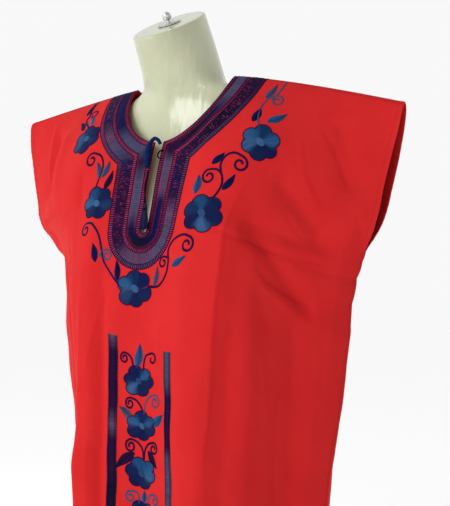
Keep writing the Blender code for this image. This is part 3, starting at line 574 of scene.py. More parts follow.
class Drape:
    """A panel's inner face in the world, by flat coordinates; side is -1 in front, +1 behind."""

    STEP = 0.0025

    def __init__(self, rows, folds, creases, side):
        self.side = side
        self.creases = creases
        reach = HALF_TOP + 0.02
        self.u = np.arange(-round(reach / self.STEP), round(reach / self.STEP) + 1) * self.STEP
        self.v = np.arange(0, round((LENGTH + 0.02) / self.STEP) + 1) * self.STEP
        u, v = np.meshgrid(self.u, self.v)
        self.x, self.y, self.z = self.lay(u, v, rows, folds)
        self.turn_normals()

    def depth(self, u, v, rows, folds):
        """Distance of the cloth in front of, or behind, the shoulder line."""
        value = {name: smooth_column(rows, DEPTH_COLUMNS, name, v) for name in DEPTH_COLUMNS[1:]}
        ridge_u = value["ridge_u"]
        inner = np.clip(np.abs(u) / ridge_u, 0, 1)
        dip = value["centre"] + (value["ridge"] - value["centre"]) * (0.5 - 0.5 * np.cos(np.pi * inner))
        t = np.clip((np.abs(u) - ridge_u) / (half_width(v) - ridge_u), 0, PAST_EDGE)
        turn = value["turn"]
        run = t - turn * (1 - np.exp(-t / turn))
        whole = 1 - turn * (1 - np.exp(-1 / turn))
        flank = value["ridge"] + (value["edge"] - value["ridge"]) * run / whole
        main = np.where(np.abs(u) < ridge_u, dip, flank)
        start = np.gradient(main, self.v, axis=0)[1:2]
        start = np.clip(start, 0, 1)
        rounding = (1 - start) * SHOULDER_ROUND * (1 - np.exp(-v / SHOULDER_ROUND))
        edge_fade = np.clip((ARMHOLE - v) / EDGE_FADE, 0, 1)
        seam_fade = np.clip((half_width(v) - np.abs(u)) / SEAM_FADE, 0, 1)
        hold = np.maximum(edge_fade, seam_fade)
        folds_here = fold_depth(u, v, folds) * seam_fade * np.clip(v / SEAM_FADE, 0, 1)
        return main + rounding * hold + folds_here

    def lay(self, u, v, rows, folds):
        """World coordinates of the grid, with the cloth's lengths kept along u and v."""
        away = np.abs(u)
        lean = np.clip((away - NECK_HALF) / (HALF_TOP - NECK_HALF), 0, PAST_EDGE)
        below = smooth_step((v - BELOW_START) / BELOW_RUN)
        left = TIP_BACK_LEFT + (SIDE_BACK_LEFT - TIP_BACK_LEFT) * below
        right = TIP_BACK_RIGHT + (SIDE_BACK_RIGHT - TIP_BACK_RIGHT) * below
        seam_y = np.where(u > 0, left, right) * lean
        y = seam_y + self.side * self.depth(u, v, rows, folds)
        fall = np.where(u[0] > 0, TIP_DROP_LEFT, TIP_DROP_RIGHT) * lean[0] ** TIP_CURVE
        shoulder_z = SHOULDER_Z - fall
        y_u = np.gradient(y, self.u, axis=1)
        y_v = np.gradient(y, self.v, axis=0)
        middle = len(self.u) // 2
        x = u.copy()
        for _ in range(4):
            x_v = np.gradient(x, self.v, axis=0)
            fall = np.sqrt(np.clip(1 - y_v ** 2 - x_v ** 2, 0.0, 1))
            z = shoulder_z[None, :] - self.run_sum(fall, axis=0)
            z_u = np.gradient(z, self.u, axis=1)
            across = np.sqrt(np.clip(1 - y_u ** 2 - z_u ** 2, STEEPEST, 1))
            x = self.run_sum(across, axis=1)
            x = x - x[:, middle:middle + 1]
        return x, y, z

    def run_sum(self, rate, axis):
        """Running integral of a rate over the grid."""
        rate = np.moveaxis(rate, axis, 0)
        steps = 0.5 * (rate[1:] + rate[:-1]) * self.STEP
        total = np.concatenate([np.zeros((1,) + steps.shape[1:]), np.cumsum(steps, axis=0)])
        return np.moveaxis(total, 0, axis)

    def meet(self, other):
        """Move this panel's edges sideways and up to those of another, which it is sewn to."""
        u, v = np.meshgrid(self.u, self.v)
        for sign in (-1, 1):
            edge = sign * half_width(self.v)
            dx = other.sample(other.x, edge, self.v) - self.sample(self.x, edge, self.v)
            dz = other.sample(other.z, edge, self.v) - self.sample(self.z, edge, self.v)
            weight = np.where(u * sign > 0, np.clip(np.abs(u) / half_width(v), 0, 1) ** 2, 0)
            self.x = self.x + weight * dx[:, None]
            self.z = self.z + weight * dz[:, None]
        self.turn_normals()

    def turn_normals(self):
        """Unit normals of the grid, out of the garment."""
        u_step = [np.gradient(c, self.u, axis=1) for c in (self.x, self.y, self.z)]
        v_step = [np.gradient(c, self.v, axis=0) for c in (self.x, self.y, self.z)]
        normal = np.cross(np.stack(u_step, -1), np.stack(v_step, -1)) * self.side
        u, v = np.meshgrid(self.u, self.v)
        normal /= np.linalg.norm(normal, axis=-1, keepdims=True)
        to_edge = half_width(v) - np.abs(u)
        sewn = np.clip((v - ARMHOLE) / SEAM_REACH + 1, 0, 1)
        near = np.clip(1 - to_edge / SEAM_REACH, 0, 1) * sewn
        near = np.maximum(near, np.clip(1 - v / SEAM_REACH, 0, 1))
        normal[..., 1] *= 1 - near
        normal /= np.linalg.norm(normal, axis=-1, keepdims=True)
        self.normal = normal

    def sample(self, grid, u, v):
        """A grid's value between its points."""
        fu = np.clip((np.asarray(u) - self.u[0]) / self.STEP, 0, len(self.u) - 1.001)
        fv = np.clip((np.asarray(v) - self.v[0]) / self.STEP, 0, len(self.v) - 1.001)
        i = fu.astype(int)
        j = fv.astype(int)
        a = fu - i
        b = fv - j
        if grid.ndim == 3:
            a = a[..., None]
            b = b[..., None]
        return (grid[j, i] * (1 - a) * (1 - b) + grid[j, i + 1] * a * (1 - b)
                + grid[j + 1, i] * (1 - a) * b + grid[j + 1, i + 1] * a * b)

    def fine(self, u, v):
        """Height of the creases and waves, none at the seams and little at the neck edge."""
        total = crease_height(u, v, self.creases)
        for height, across, down, start in WAVES:
            total = total + height * np.sin(2 * np.pi * (across * u + down * v) + start)
        drop = NECK_FRONT if self.side < 0 else NECK_BACK
        from_neck = np.sqrt((u / NECK_HALF) ** 2 + (v / drop) ** 2) - 1
        calm = smooth_step(v / SEAM_CALM) * smooth_step((half_width(v) - np.abs(u)) / SEAM_CALM)
        grown = smooth_step((from_neck - NECK_CALM_START) / NECK_CALM_RUN)
        return total * calm * (NECK_CALM + (1 - NECK_CALM) * grown)

    def point(self, u, v, lift=0.0):
        """World points lifted off the inner face."""
        u = np.asarray(u, dtype=float)
        v = np.asarray(v, dtype=float)
        lift = np.broadcast_to(np.asarray(lift, dtype=float), u.shape) + self.fine(u, v)
        return self.plain_point(u, v, lift[..., None])

    def plain_point(self, u, v, lift=0.0):
        """World points lifted off the inner face, without the fine creases, as the solids have them."""
        place = np.stack([self.sample(c, u, v) for c in (self.x, self.y, self.z)], axis=-1)
        return place + self.sample(self.normal, u, v) * lift


def slit_half(v):
    """Half the gap of the slit, v down from the shoulder."""
    t = np.clip((v - NECK_FRONT) / (SLIT_END - NECK_FRONT), 0, 1)
    return SLIT_TOP_HALF + (SLIT_END_HALF - SLIT_TOP_HALF) * t


def slit_spread(v):
    """How much wider the border is beside the slit than round the neck."""
    t = np.clip((v - NECK_FRONT) / (SLIT_END - NECK_FRONT), 0, 1)
    return SPREAD_TOP + (SPREAD_END - SPREAD_TOP) * t


def neck_angle(away):
    """Angle on the neck's ellipse at which the line moved away by that much meets the slit's."""
    return np.arccos((SLIT_TOP_HALF + away * SPREAD_TOP) / (NECK_HALF + away))


def neck_part(t, away, middle, drop, slit):
    """Points of the neck edge moved away, t from 0 at the shoulder to 1 at the slit or the centre."""
    last = neck_angle(away) if slit else np.pi / 2
    last_middle = neck_angle(middle) if slit else np.pi / 2
    angle = last_middle * t + (last - last_middle) * t ** 5
    return np.stack([(NECK_HALF + away) * np.cos(angle), (drop + away) * np.sin(angle)], -1)


def slit_part(t, away, middle):
    """Points beside the slit, t from 0 at its top to 1 at its foot."""
    top = (NECK_FRONT + away) * np.sin(neck_angle(away))
    top_middle = (NECK_FRONT + middle) * np.sin(neck_angle(middle))
    v = top_middle + (SLIT_END - top_middle) * t + (top - top_middle) * (1 - t) ** 5
    return np.stack([slit_half(v) + away * slit_spread(v), v], -1)


def foot_part(t, away):
    """Points round the foot of the slit, t from 0 beside it to 1 under it."""
    angle = np.pi / 2 * t
    across = (SLIT_END_HALF + away * SPREAD_END) * np.cos(angle)
    return np.stack([across, SLIT_END + (SLIT_END_HALF + away) * np.sin(angle)], -1)


def border_parts(middle, drop, slit):
    """The stretches of half the border with their lengths on its middle line."""
    parts = [lambda t, away: neck_part(t, away, middle, drop, slit)]
    if slit:
        parts += [lambda t, away: slit_part(t, away, middle), foot_part]
    measured = []
    for part in parts:
        t = np.linspace(0, 1, 200)
        line = part(t, np.full_like(t, middle))
        measured.append((part, float(np.linalg.norm(np.diff(line, axis=0), axis=1).sum())))
    return measured


def border_crossings(inner, outer, pitch, drop, slit, slant=0.0, stations=5):
    """Lines across a band of the border, and each one's place along it, 0 to 2."""
    middle = (inner + outer) / 2
    parts = border_parts(middle, drop, slit)
    total = sum(length for _, length in parts)
    lines = []
    places = []
    before = 0.0
    for part, length in parts:
        count = max(2, round(length / pitch))
        t = (np.arange(count) + 0.5) / count
        across = np.linspace(0, 1, stations)
        away = inner + (outer - inner) * across
        lean = np.where(np.arange(count) % 2 == 0, 1, -1) * slant / length
        t_all = np.clip(t[:, None] + lean[:, None] * (across - 0.5), 0, 1)
        away_all = np.broadcast_to(away, t_all.shape)
        lines.append(part(t_all, away_all))
        places.append((before + t * length) / total)
        before += length
    half = np.concatenate(lines)
    place = np.concatenate(places)
    other = half[::-1] * np.array([-1, 1])
    return np.concatenate([half, other]), np.concatenate([place, 2 - place[::-1]])


def border_line(away, drop, slit, step):
    """The whole neck edge moved away, from the wearer's left shoulder to the right one."""
    pieces = []
    for part, length in border_parts(away, drop, slit):
        t = np.linspace(0, 1, max(3, round(length / step) + 1))
        pieces.append(part(t, np.full_like(t, away))[:-1])
    half = np.concatenate(pieces)
    foot = SLIT_END + SLIT_END_HALF if slit else drop
    return np.concatenate([half, [[0.0, foot + away]], half[::-1] * np.array([-1, 1])])


def tone_at(stops, place):
    """Colour between a table's stops."""
    at = [stop[0] for stop in stops]
    return np.stack([np.interp(place, at, [stop[1][k] for stop in stops]) for k in range(3)], -1)


def blend(a, b, share):
    """Colour between two, by a share for each thread."""
    share = np.asarray(share)[..., None]
    return np.array(a) * (1 - share) + np.array(b) * share


class Look:
    """A node material under construction."""

    def __init__(self, name):
        self.made = bpy.data.materials.new(name)
        self.made.use_nodes = True
        self.tree = self.made.node_tree
        self.shader = self.tree.nodes["Principled BSDF"]

    def node(self, kind, **values):
        """A new node with some of its input sockets set."""
        made = self.tree.nodes.new("ShaderNode" + kind)
        for name, value in values.items():
            made.inputs[name.replace("_", " ")].default_value = value
        return made

    def link(self, a, out, b, into):
        self.tree.links.new(a.outputs[out], b.inputs[into])

    def noise(self, source, out, **values):
        """Noise at a coordinate."""
        made = self.node("TexNoise", **values)
        self.link(source, out, made, "Vector")
        return made

    def scaled(self, source, out, scale):
        """A coordinate with its directions scaled."""
        made = self.node("Mapping", Scale=scale)
        self.link(source, out, made, "Vector")
        return made

    def combined(self, operation, *sources):
        """A sum or product of nodes' values and of plain numbers."""
        made = self.node("Math")
        made.operation = operation
        for into, source in enumerate(sources):
            if isinstance(source, float):
                made.inputs[into].default_value = source
            else:
                self.link(source, "Value" if source.type == "MATH" else "Fac", made, into)
        return made

    def ramp(self, source, out, *stops):
        """Colours by a value."""
        made = self.node("ValToRGB")
        self.link(source, out, made, "Fac")
        while len(made.color_ramp.elements) < len(stops):
            made.color_ramp.elements.new(0.5)
        for element, (place, colour) in zip(made.color_ramp.elements, stops):
            element.position = place
            element.color = (*colour, 1.0)
        return made

    def bump(self, source, out, distance, strength=1.0, under=None):
        """Raise the surface by a value."""
        made = self.node("Bump", Distance=distance, Strength=strength)
        self.link(source, out, made, "Height")
        if under:
            self.link(under, "Normal", made, "Normal")
        return made

    def finished(self, colours, surface=None, **values):
        """The material, with its colours and surface linked and the shader's other sockets set."""
        if colours:
            self.link(colours, "Color", self.shader, "Base Color")
        if surface:
            self.link(surface, "Normal", self.shader, "Normal")
        for name, value in values.items():
            self.shader.inputs[name.replace("_", " ")].default_value = value
        return self.made


def cotton():
    """Plain woven red cotton: crossing yarns, slubs, and a soft even sheen."""
    look = Look("red_cotton_weave")
    flat = look.node("UVMap")
    flat.uv_map = "flat"
    waves = []
    for direction in ("X", "Y"):
        wave = look.node("TexWave", Scale=190.0, Distortion=0.6, Detail=1.0, Detail_Scale=30.0)
        wave.bands_direction = direction
        look.link(flat, "UV", wave, "Vector")
        waves.append(wave)
    slub = look.noise(look.scaled(flat, "UV", (60.0, 420.0, 1.0)), "Vector",
                      Scale=1.0, Detail=5.0, Roughness=0.65)
    cloud = look.noise(flat, "UV", Scale=14.0, Detail=4.0, Roughness=0.55)
    mixed = look.combined("MULTIPLY", look.combined("ADD", slub, cloud), 0.5)
    colours = look.ramp(mixed, "Value", (0.30, (0.540, 0.014, 0.016)), (0.62, (0.590, 0.019, 0.020)),
                        (0.95, (0.630, 0.024, 0.022)))
    yarn = look.combined("MULTIPLY", *waves)
    weave = look.bump(yarn, "Value", 0.00016, 0.7)
    slubs = look.bump(slub, "Fac", 0.00025, 0.5, weave)
    return look.finished(colours, slubs, Roughness=0.85, Specular_IOR_Level=0.08, Sheen_Weight=0.05,
                         Sheen_Roughness=0.4, Sheen_Tint=(1.0, 0.45, 0.35, 1.0), Subsurface_Weight=0.35,
                         Subsurface_Radius=(1.0, 0.3, 0.25), Subsurface_Scale=0.0015)


def thread(name, rough=0.42):
    """Mercerised embroidery thread, coloured along each stitch."""
    look = Look(name)
    colour = look.node("VertexColor")
    colour.layer_name = "thread"
    place = look.node("TexCoord")
    fibre = look.noise(place, "Object", Scale=2600.0, Detail=3.0, Roughness=0.6)
    patch = look.noise(place, "Object", Scale=420.0, Detail=2.0)
    vary = look.ramp(patch, "Fac", (0.25, (0.70, 0.70, 0.74)), (0.75, (1.0, 1.0, 1.0)))
    mix = look.node("Mix")
    mix.data_type = "RGBA"
    mix.blend_type = "MULTIPLY"
    mix.inputs["Factor"].default_value = 1.0
    look.link(colour, "Color", mix, 6)
    look.link(vary, "Color", mix, 7)
    look.link(mix, 2, look.shader, "Base Color")
    fibres = look.bump(fibre, "Fac", 0.00012, 0.6)
    return look.finished(None, fibres, Roughness=rough, Specular_IOR_Level=0.03)


def red_thread():
    """Sewing thread of the seams and hems, a little deeper than the cloth."""
    look = Look("red_thread")
    fibre = look.noise(look.node("TexCoord"), "Object", Scale=1800.0, Detail=2.0)
    colours = look.ramp(fibre, "Fac", (0.3, (0.36, 0.012, 0.014)), (0.7, (0.50, 0.022, 0.020)))
    fibres = look.bump(fibre, "Fac", 0.0001, 0.5)
    return look.finished(colours, fibres, Roughness=0.8, Specular_IOR_Level=0.05)


def moulded():
    """Glossy pale plastic with long soft waves down the neck and a faint mottle."""
    look = Look("form_plastic")
    place = look.node("TexCoord")
    mottle = look.noise(place, "Object", Scale=9.0, Detail=3.0, Roughness=0.5)
    colours = look.ramp(mottle, "Fac", (0.35, (0.455, 0.475, 0.310)), (0.65, (0.525, 0.540, 0.370)))
    waves = look.noise(look.scaled(place, "Object", (95.0, 95.0, 13.0)), "Vector",
                       Scale=1.0, Detail=2.0, Roughness=0.45)
    wavy = look.bump(waves, "Fac", 0.0022, 0.55)
    grain = look.noise(place, "Object", Scale=700.0, Detail=2.0)
    fine = look.bump(grain, "Fac", 0.00006, 0.5, wavy)
    rough = look.ramp(mottle, "Fac", (0.3, (0.16,) * 3), (0.7, (0.26,) * 3))
    look.link(rough, "Color", look.shader, "Roughness")
    return look.finished(colours, fine, Subsurface_Weight=0.08, Subsurface_Radius=(0.006, 0.006, 0.004),
                         Coat_Weight=0.35, Coat_Roughness=0.08)


def polished(name, colour, rough):
    """Plated metal with fine rubbing marks."""
    look = Look(name)
    marks = look.noise(look.node("TexCoord"), "Object", Scale=160.0, Detail=4.0)
    roughs = look.ramp(marks, "Fac", (0.35, (rough,) * 3), (0.75, (rough * 2.4,) * 3))
    look.link(roughs, "Color", look.shader, "Roughness")
    tones = look.ramp(marks, "Fac", (0.3, colour), (0.8, tuple(0.93 * part for part in colour)))
    return look.finished(tones, look.bump(marks, "Fac", 0.00003, 0.4), Metallic=1.0)


def floor_look():
    """Plain pale paper."""
    look = Look("pale_floor")
    grain = look.noise(look.node("TexCoord"), "Object", Scale=40.0, Detail=2.0)
    colours = look.ramp(grain, "Fac", (0.3, (0.97,) * 3), (0.7, (0.985,) * 3))
    return look.finished(colours, Roughness=0.9, Specular_IOR_Level=0.1,
                         Emission_Color=(1.0, 1.0, 1.0, 1.0), Emission_Strength=0.25)


def placed(name, data, where=(0, 0, 0)):
    """A new object in the scene."""
    obj = bpy.data.objects.new(name, data)
    bpy.context.scene.collection.objects.link(obj)
    obj.location = where
    return obj


def add_mesh(name, points, faces, look, tones=None, flat=None):
    """A smooth piece from points and lists of faces, with a colour or flat place for each point."""
    data = bpy.data.meshes.new(name)
    data.from_pydata(points.tolist(), [], faces)
    if tones is not None:
        layer = data.color_attributes.new("thread", "FLOAT_COLOR", "POINT")
        whole = np.ones((len(points), 4), dtype=np.float32)
        whole[:, :3] = tones
        layer.data.foreach_set("color", whole.ravel())
    if flat is not None:
        layer = data.uv_layers.new(name="flat")
        corner = np.empty(len(data.loops), dtype=np.int32)
        data.loops.foreach_get("vertex_index", corner)
        layer.data.foreach_set("uv", flat[corner].astype(np.float32).ravel())
    data.shade_smooth()
    data.materials.append(look)
    obj = placed(name, data)
    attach(obj, "root")
    return obj


class Gathered:
    """Points, faces and colours gathered for one piece."""

    def __init__(self):
        self.points = []
        self.faces = []
        self.tones = []
        self.count = 0

    def keep(self, points, faces, tones):
        """Add a part, whose faces count from its own first point."""
        self.points.append(points)
        self.faces.append(faces + self.count)
        self.tones.append(tones)
        self.count += len(points)

    def piece(self, name, look, slot="blue_thread"):
        """All that was gathered, as one piece."""
        faces = [tuple(dict.fromkeys(face)) for face in np.concatenate(self.faces).tolist()]
        return add_mesh(name, np.concatenate(self.points), faces, look, np.concatenate(self.tones))


class Stitches(Gathered):
    """Threads laid on a drape, with the random draws that make them uneven."""

    SHOULDER = 0.45             # a thread's flat top, as a share of its width and of its rise
    SHOULDER_RISE = 0.85
    ROPE_REACH = 1.25           # a rope's stitches: half length by pitch, offset, width and rise
    ROPE_OFFSET = 0.24
    ROPE_WIDTH = 0.72
    ROPE_RISE = THREAD_RISE * 1.5

    def __init__(self, drape, draw=None):
        super().__init__()
        self.drape = drape
        self.draw = draw

    def lay(self, paths, width, tone, rise=THREAD_RISE, base=0.0, sink=4.0):
        """Raised threads along flat paths of shape (threads, stations, 2)."""
        threads, stations, _ = paths.shape
        run = np.gradient(paths, axis=1)
        across = np.stack([-run[..., 1], run[..., 0]], -1)
        across /= np.maximum(np.linalg.norm(across, axis=-1, keepdims=True), 1e-9)
        half = np.broadcast_to(np.asarray(width) / 2, (threads, stations))[..., None]
        arch = 1 - np.abs(np.linspace(-1, 1, stations)) ** sink
        low = CLOTH + THREAD_BASE + np.broadcast_to(np.asarray(base, dtype=float), (threads, stations))
        top = low + np.broadcast_to(np.asarray(rise, dtype=float), low.shape) * arch * self.SHOULDER_RISE
        rows = []
        for side, lift in ((-1.0, low), (-self.SHOULDER, top), (self.SHOULDER, top), (1.0, low)):
            place = paths + across * half * side
            rows.append(self.drape.point(place[..., 0], place[..., 1], lift))
        wide = len(rows)
        first = np.arange(threads)[:, None, None] * stations * wide
        first = first + np.arange(stations - 1)[None, :, None] * wide + np.arange(wide - 1)
        quads = np.stack([first, first + 1, first + wide + 1, first + wide], -1).reshape(-1, 4)
        if self.drape.side < 0:
            quads = quads[:, ::-1]
        tone = np.broadcast_to(np.asarray(tone, dtype=float), (threads, stations, 3)).reshape(-1, 3)
        self.keep(np.stack(rows, axis=2).reshape(-1, 3), quads, np.repeat(tone, wide, axis=0))

    def rope(self, path, width, tone, base=0.0, pitch=ROPE_PITCH):
        """Slanted overlapping stitches that follow a flat path, as a stem is sewn."""
        lengths = np.linalg.norm(np.diff(path, axis=0), axis=1)
        along = np.concatenate([[0], np.cumsum(lengths)])
        count = max(3, round(along[-1] / pitch))
        centre = np.linspace(0, along[-1], count)
        offsets = np.linspace(-1, 1, 4)
        at = np.clip(centre[:, None] + offsets * pitch * self.ROPE_REACH, 0, along[-1])
        line = np.stack([np.interp(at, along, path[:, k]) for k in (0, 1)], -1)
        way = np.stack([np.interp(at, along, np.gradient(path[:, k])) for k in (0, 1)], -1)
        way /= np.maximum(np.linalg.norm(way, axis=-1, keepdims=True), 1e-9)
        side = np.stack([-way[..., 1], way[..., 0]], -1)
        line = line + side * (offsets * width * self.ROPE_OFFSET)[None, :, None]
        tone = np.asarray(tone, dtype=float)
        if tone.ndim == 2:
            spots = np.linspace(0, along[-1], len(tone))
            tone = np.stack([np.interp(centre, spots, tone[:, k]) for k in range(3)], -1)[:, None, :]
        self.lay(line, width * self.ROPE_WIDTH, tone, self.ROPE_RISE, base, 3.0)


def spread_width(lines, pitch):
    """Width of threads that lie side by side with no gap, also where they fan out."""
    gap = np.linalg.norm(lines[2:] - lines[:-2], axis=-1) / 2
    gap = np.concatenate([gap[:1], gap, gap[-1:]])
    return np.clip(gap, pitch * 0.8, pitch * 2.0) * THREAD_OVERLAP


def dark_ground(sewn, inner, outer, drop, slit):
    """Low dark threads across a band, under its pattern."""
    lines, _ = border_crossings(inner, outer, GROUND_PITCH, drop, slit)
    sewn.lay(lines, spread_width(lines, GROUND_PITCH), PURPLE, GROUND_RISE)


def border(name, drape, drop, slit, look, draw):
    """The embroidered bands round the neck, and the slit where there is one."""
    sewn = Stitches(drape, draw)
    for kind, inner, outer in BANDS:
        if kind == "satin":
            lines, place = border_crossings(inner, outer, SATIN_PITCH, drop, slit, SATIN_SLANT)
            tone = tone_at(SATIN_TONES, place) * draw.uniform(0.82, 1.18, (len(place), 1))
            sewn.lay(lines, spread_width(lines, SATIN_PITCH), tone[:, None, :])
        elif kind == "zigzag":
            dark_ground(sewn, inner, outer, drop, slit)
            lines, place = border_crossings(inner, outer, ZIGZAG_PITCH, drop, slit, ZIGZAG_SLANT,
                                            ZIGZAG_STATIONS)
            tone = tone_at(ZIGZAG_TONES, place) * draw.uniform(0.75, 1.25, (len(place), 1))
            fleck = draw.uniform(0, 1, lines.shape[:2]) < FLECK_SHARE
            tone = np.where(fleck[..., None], FLECK, tone[:, None, :])
            sewn.lay(lines, spread_width(lines, ZIGZAG_PITCH), tone, THREAD_RISE, ZIGZAG_LIFT)
        else:
            ladder(sewn, inner, outer, drop, slit, OUTER_RUNG_TONES if outer == BORDER else RUNG_TONES)
    return sewn.piece(name, look)


def ladder(sewn, inner, outer, drop, slit, tones):
    """A dark ground with two rails and a row of raised rungs."""
    dark_ground(sewn, inner, outer, drop, slit)
    rungs, place = border_crossings(inner + RUNG_INSET, outer - RUNG_INSET, RUNG_PITCH, drop, slit)
    tone = tone_at(tones, place) * sewn.draw.uniform(0.8, 1.2, (len(place), 1))
    sewn.lay(rungs, RUNG_WIDTH, tone[:, None, :], THREAD_RISE * 1.2)
    for away in (inner + RAIL_INSET, outer - RAIL_INSET):
        sewn.rope(border_line(away, drop, slit, RAIL_STEP), RAIL_WIDTH, PURPLE, RAIL_LIFT)


def petal_reach(delta):
    """A petal's rim as a share of the flower's size, by angle from the petal's own axis."""
    side = PETAL_OUT * np.sin(delta)
    return PETAL_OUT * np.cos(delta) + np.sqrt(np.maximum(PETAL_SIZE ** 2 - side ** 2, 0.001))


def petal_light(lights, petal, aside):
    """How light a petal is across it, aside -1 to 1, running softly into its neighbours."""
    own = lights[petal]
    after = lights[(petal + 1) % len(lights)]
    before = lights[petal - 1]
    other = np.where(aside > 0, after, before)
    return own + (other - own) * 0.4 * smooth_step(np.abs(aside) * 1.4 - 0.4)


def flower(sewn, row):
    """A generic round-petalled flower in satin stitch, its threads running out from the middle."""
    u, v, wide, tall = metres(row[:4])
    turn, lights = row[4:]
    draw = sewn.draw
    centre = np.array([u, v])
    size = np.array([wide, tall])
    petals = len(lights)
    half = math.pi / petals
    rim = []
    for k in range(petals):
        axis = math.radians(turn) + 2 * math.pi * (k + draw.uniform(-0.09, 0.09)) / petals
        grown = draw.uniform(0.92, 1.05)
        count = round(2 * half * wide / SATIN_PITCH)
        delta = np.linspace(-half * PETAL_FAN, half * PETAL_FAN, count)
        reach = petal_reach(delta) * grown
        ends = reach * draw.uniform(0.97, 1.0, count)
        t = np.linspace(0, 1, 7)
        distance = HEART_SHARE + (ends - HEART_SHARE)[:, None] * t
        angle = (axis + delta)[:, None] + PETAL_CURVE * np.sin(t * np.pi)
        paths = centre + size * np.stack([distance * np.cos(angle), distance * np.sin(angle)], -1)
        width = distance * wide * (2 * PETAL_FAN * half / count) * PETAL_OVERLAP + PETAL_LEAST
        glow = petal_light(lights, k, delta / half)[:, None]
        share = glow * (0.35 + glow) * (0.55 + 0.60 * np.sin(0.35 + t * 2.4))
        bright = blend(TEAL, PALE, 0.5 + 0.5 * np.sin(axis + delta))[:, None, :]
        tone = blend(NAVY, bright, np.clip(share, 0, 1))
        tone = tone * draw.uniform(0.85, 1.15, (count, 1, 1))
        dome = PETAL_DOME * np.cos(delta / half * np.pi / 2.3)[:, None] * np.sin(np.pi * t * 0.9)
        sewn.lay(paths, width, tone, THREAD_RISE, dome + PETAL_STEP * (k % 2))
        edge = (reach + RIM_OUT)[:, None] * np.stack([np.cos(axis + delta), np.sin(axis + delta)], -1)
        rim.append(centre + size * edge)
    rim = np.concatenate(rim + [rim[0][:1]])
    sewn.rope(rim, RIM_WIDTH, PURPLE, RIM_LIFT, RIM_PITCH)
    heart(sewn, centre, tall * HEART_SIZE, lights[3])


def heart(sewn, centre, size, light):
    """Small satin oval at the middle of a flower."""
    t = np.linspace(-0.92, 0.92, HEART_THREADS)
    half = np.sqrt(1 - t * t) * size * 0.72
    across = np.linspace(-1, 1, 5)
    lean = 0.5
    x = t[:, None] * size * math.cos(lean) - across * half[:, None] * math.sin(lean)
    y = t[:, None] * size * math.sin(lean) + across * half[:, None] * math.cos(lean)
    tone = blend(NAVY, PALE, np.full(HEART_THREADS, 0.35 + 0.6 * light))
    tone = tone * sewn.draw.uniform(0.85, 1.1, (HEART_THREADS, 1))
    sewn.lay(centre + np.stack([x, y], -1), size * 2 / HEART_THREADS * 1.3, tone[:, None, :], THREAD_RISE,
             HEART_LIFT)


def leaf(sewn, row):
    """A pointed leaf: slanted stitches each side of its middle line."""
    tone = np.array(row[0])
    base_u, base_v, tip_u, tip_v, width = metres(row[1:])
    base = np.array([base_u, base_v])
    way = np.array([tip_u, tip_v]) - base
    length = float(np.linalg.norm(way))
    way = way / length
    side = np.array([-way[1], way[0]])
    count = round(length / (SATIN_PITCH * 0.95))
    t = (np.arange(count) + 0.5) / count
    half = width / 2 * 1.15 * np.sin(np.pi * t ** 0.62) ** 0.75 * (1 - 0.35 * t)
    bow = LEAF_BOW * length * np.sin(np.pi * t)
    s = np.linspace(0, 1, 4)
    for sign in (-1, 1):
        ahead = t[:, None] * length + s * half[:, None] * LEAF_SLANT
        aside = bow[:, None] + sign * s * half[:, None]
        paths = base + way * ahead[..., None] + side * aside[..., None]
        shade = blend(tone * (0.8 if sign > 0 else 1.1), BLACK_BLUE, 0.45 * t ** 2)
        shade = shade * sewn.draw.uniform(0.85, 1.15, (count, 1))
        sewn.lay(paths, SATIN_PITCH * 1.25, shade[:, None, :])
    middle = base + way * (t * length)[:, None] + side * bow[:, None]
    sewn.rope(middle, VEIN_WIDTH, tone * 0.6, VEIN_LIFT)


def curl(start, heading, radius, turns, side):
    """A spiral that tightens from a start and heading."""
    angle = 2 * math.pi * turns / CURL_STEPS
    spot = np.array(start, dtype=float)
    spots = []
    for k in range(CURL_STEPS):
        reach = radius * (1 - CURL_TIGHTENING * k / CURL_STEPS)
        heading += side * angle
        spot = spot + reach * angle * np.array([math.cos(heading), math.sin(heading)])
        spots.append(spot)
    return np.array(spots)


def spline(keys, count):
    """A smooth curve through a few points, as a number of points evenly spread over its keys."""
    ahead = [keys[0] * 2 - keys[1]] + keys + [keys[-1] * 2 - keys[-2]]
    path = []
    for k in range(count):
        place = (len(keys) - 1) * k / (count - 1)
        i = min(int(place), len(keys) - 2)
        t = place - i
        a, b, c, d = ahead[i:i + 4]
        path.append(0.5 * (2 * b + (c - a) * t + (2 * a - 5 * b + 4 * c - d) * t * t
                           + (3 * b - a - 3 * c + d) * t ** 3))
    return np.array([tuple(p) for p in path])


def stem(sewn, row):
    """A stem in slanted stitches, with a spiral at its end where it has one."""
    tone, width, end = row[:3]
    spots = metres(row[3:])
    path = spline([np.array(p) for p in spots], 10 * (len(spots) - 1) + 1)
    if end:
        radius, turns, side = end
        way = path[-1] - path[-2]
        heading = math.atan2(way[1], way[0])
        path = np.concatenate([path, curl(path[-1], heading, radius / 1000, turns, side)])
    sewn.rope(path, width / 1000, tone)


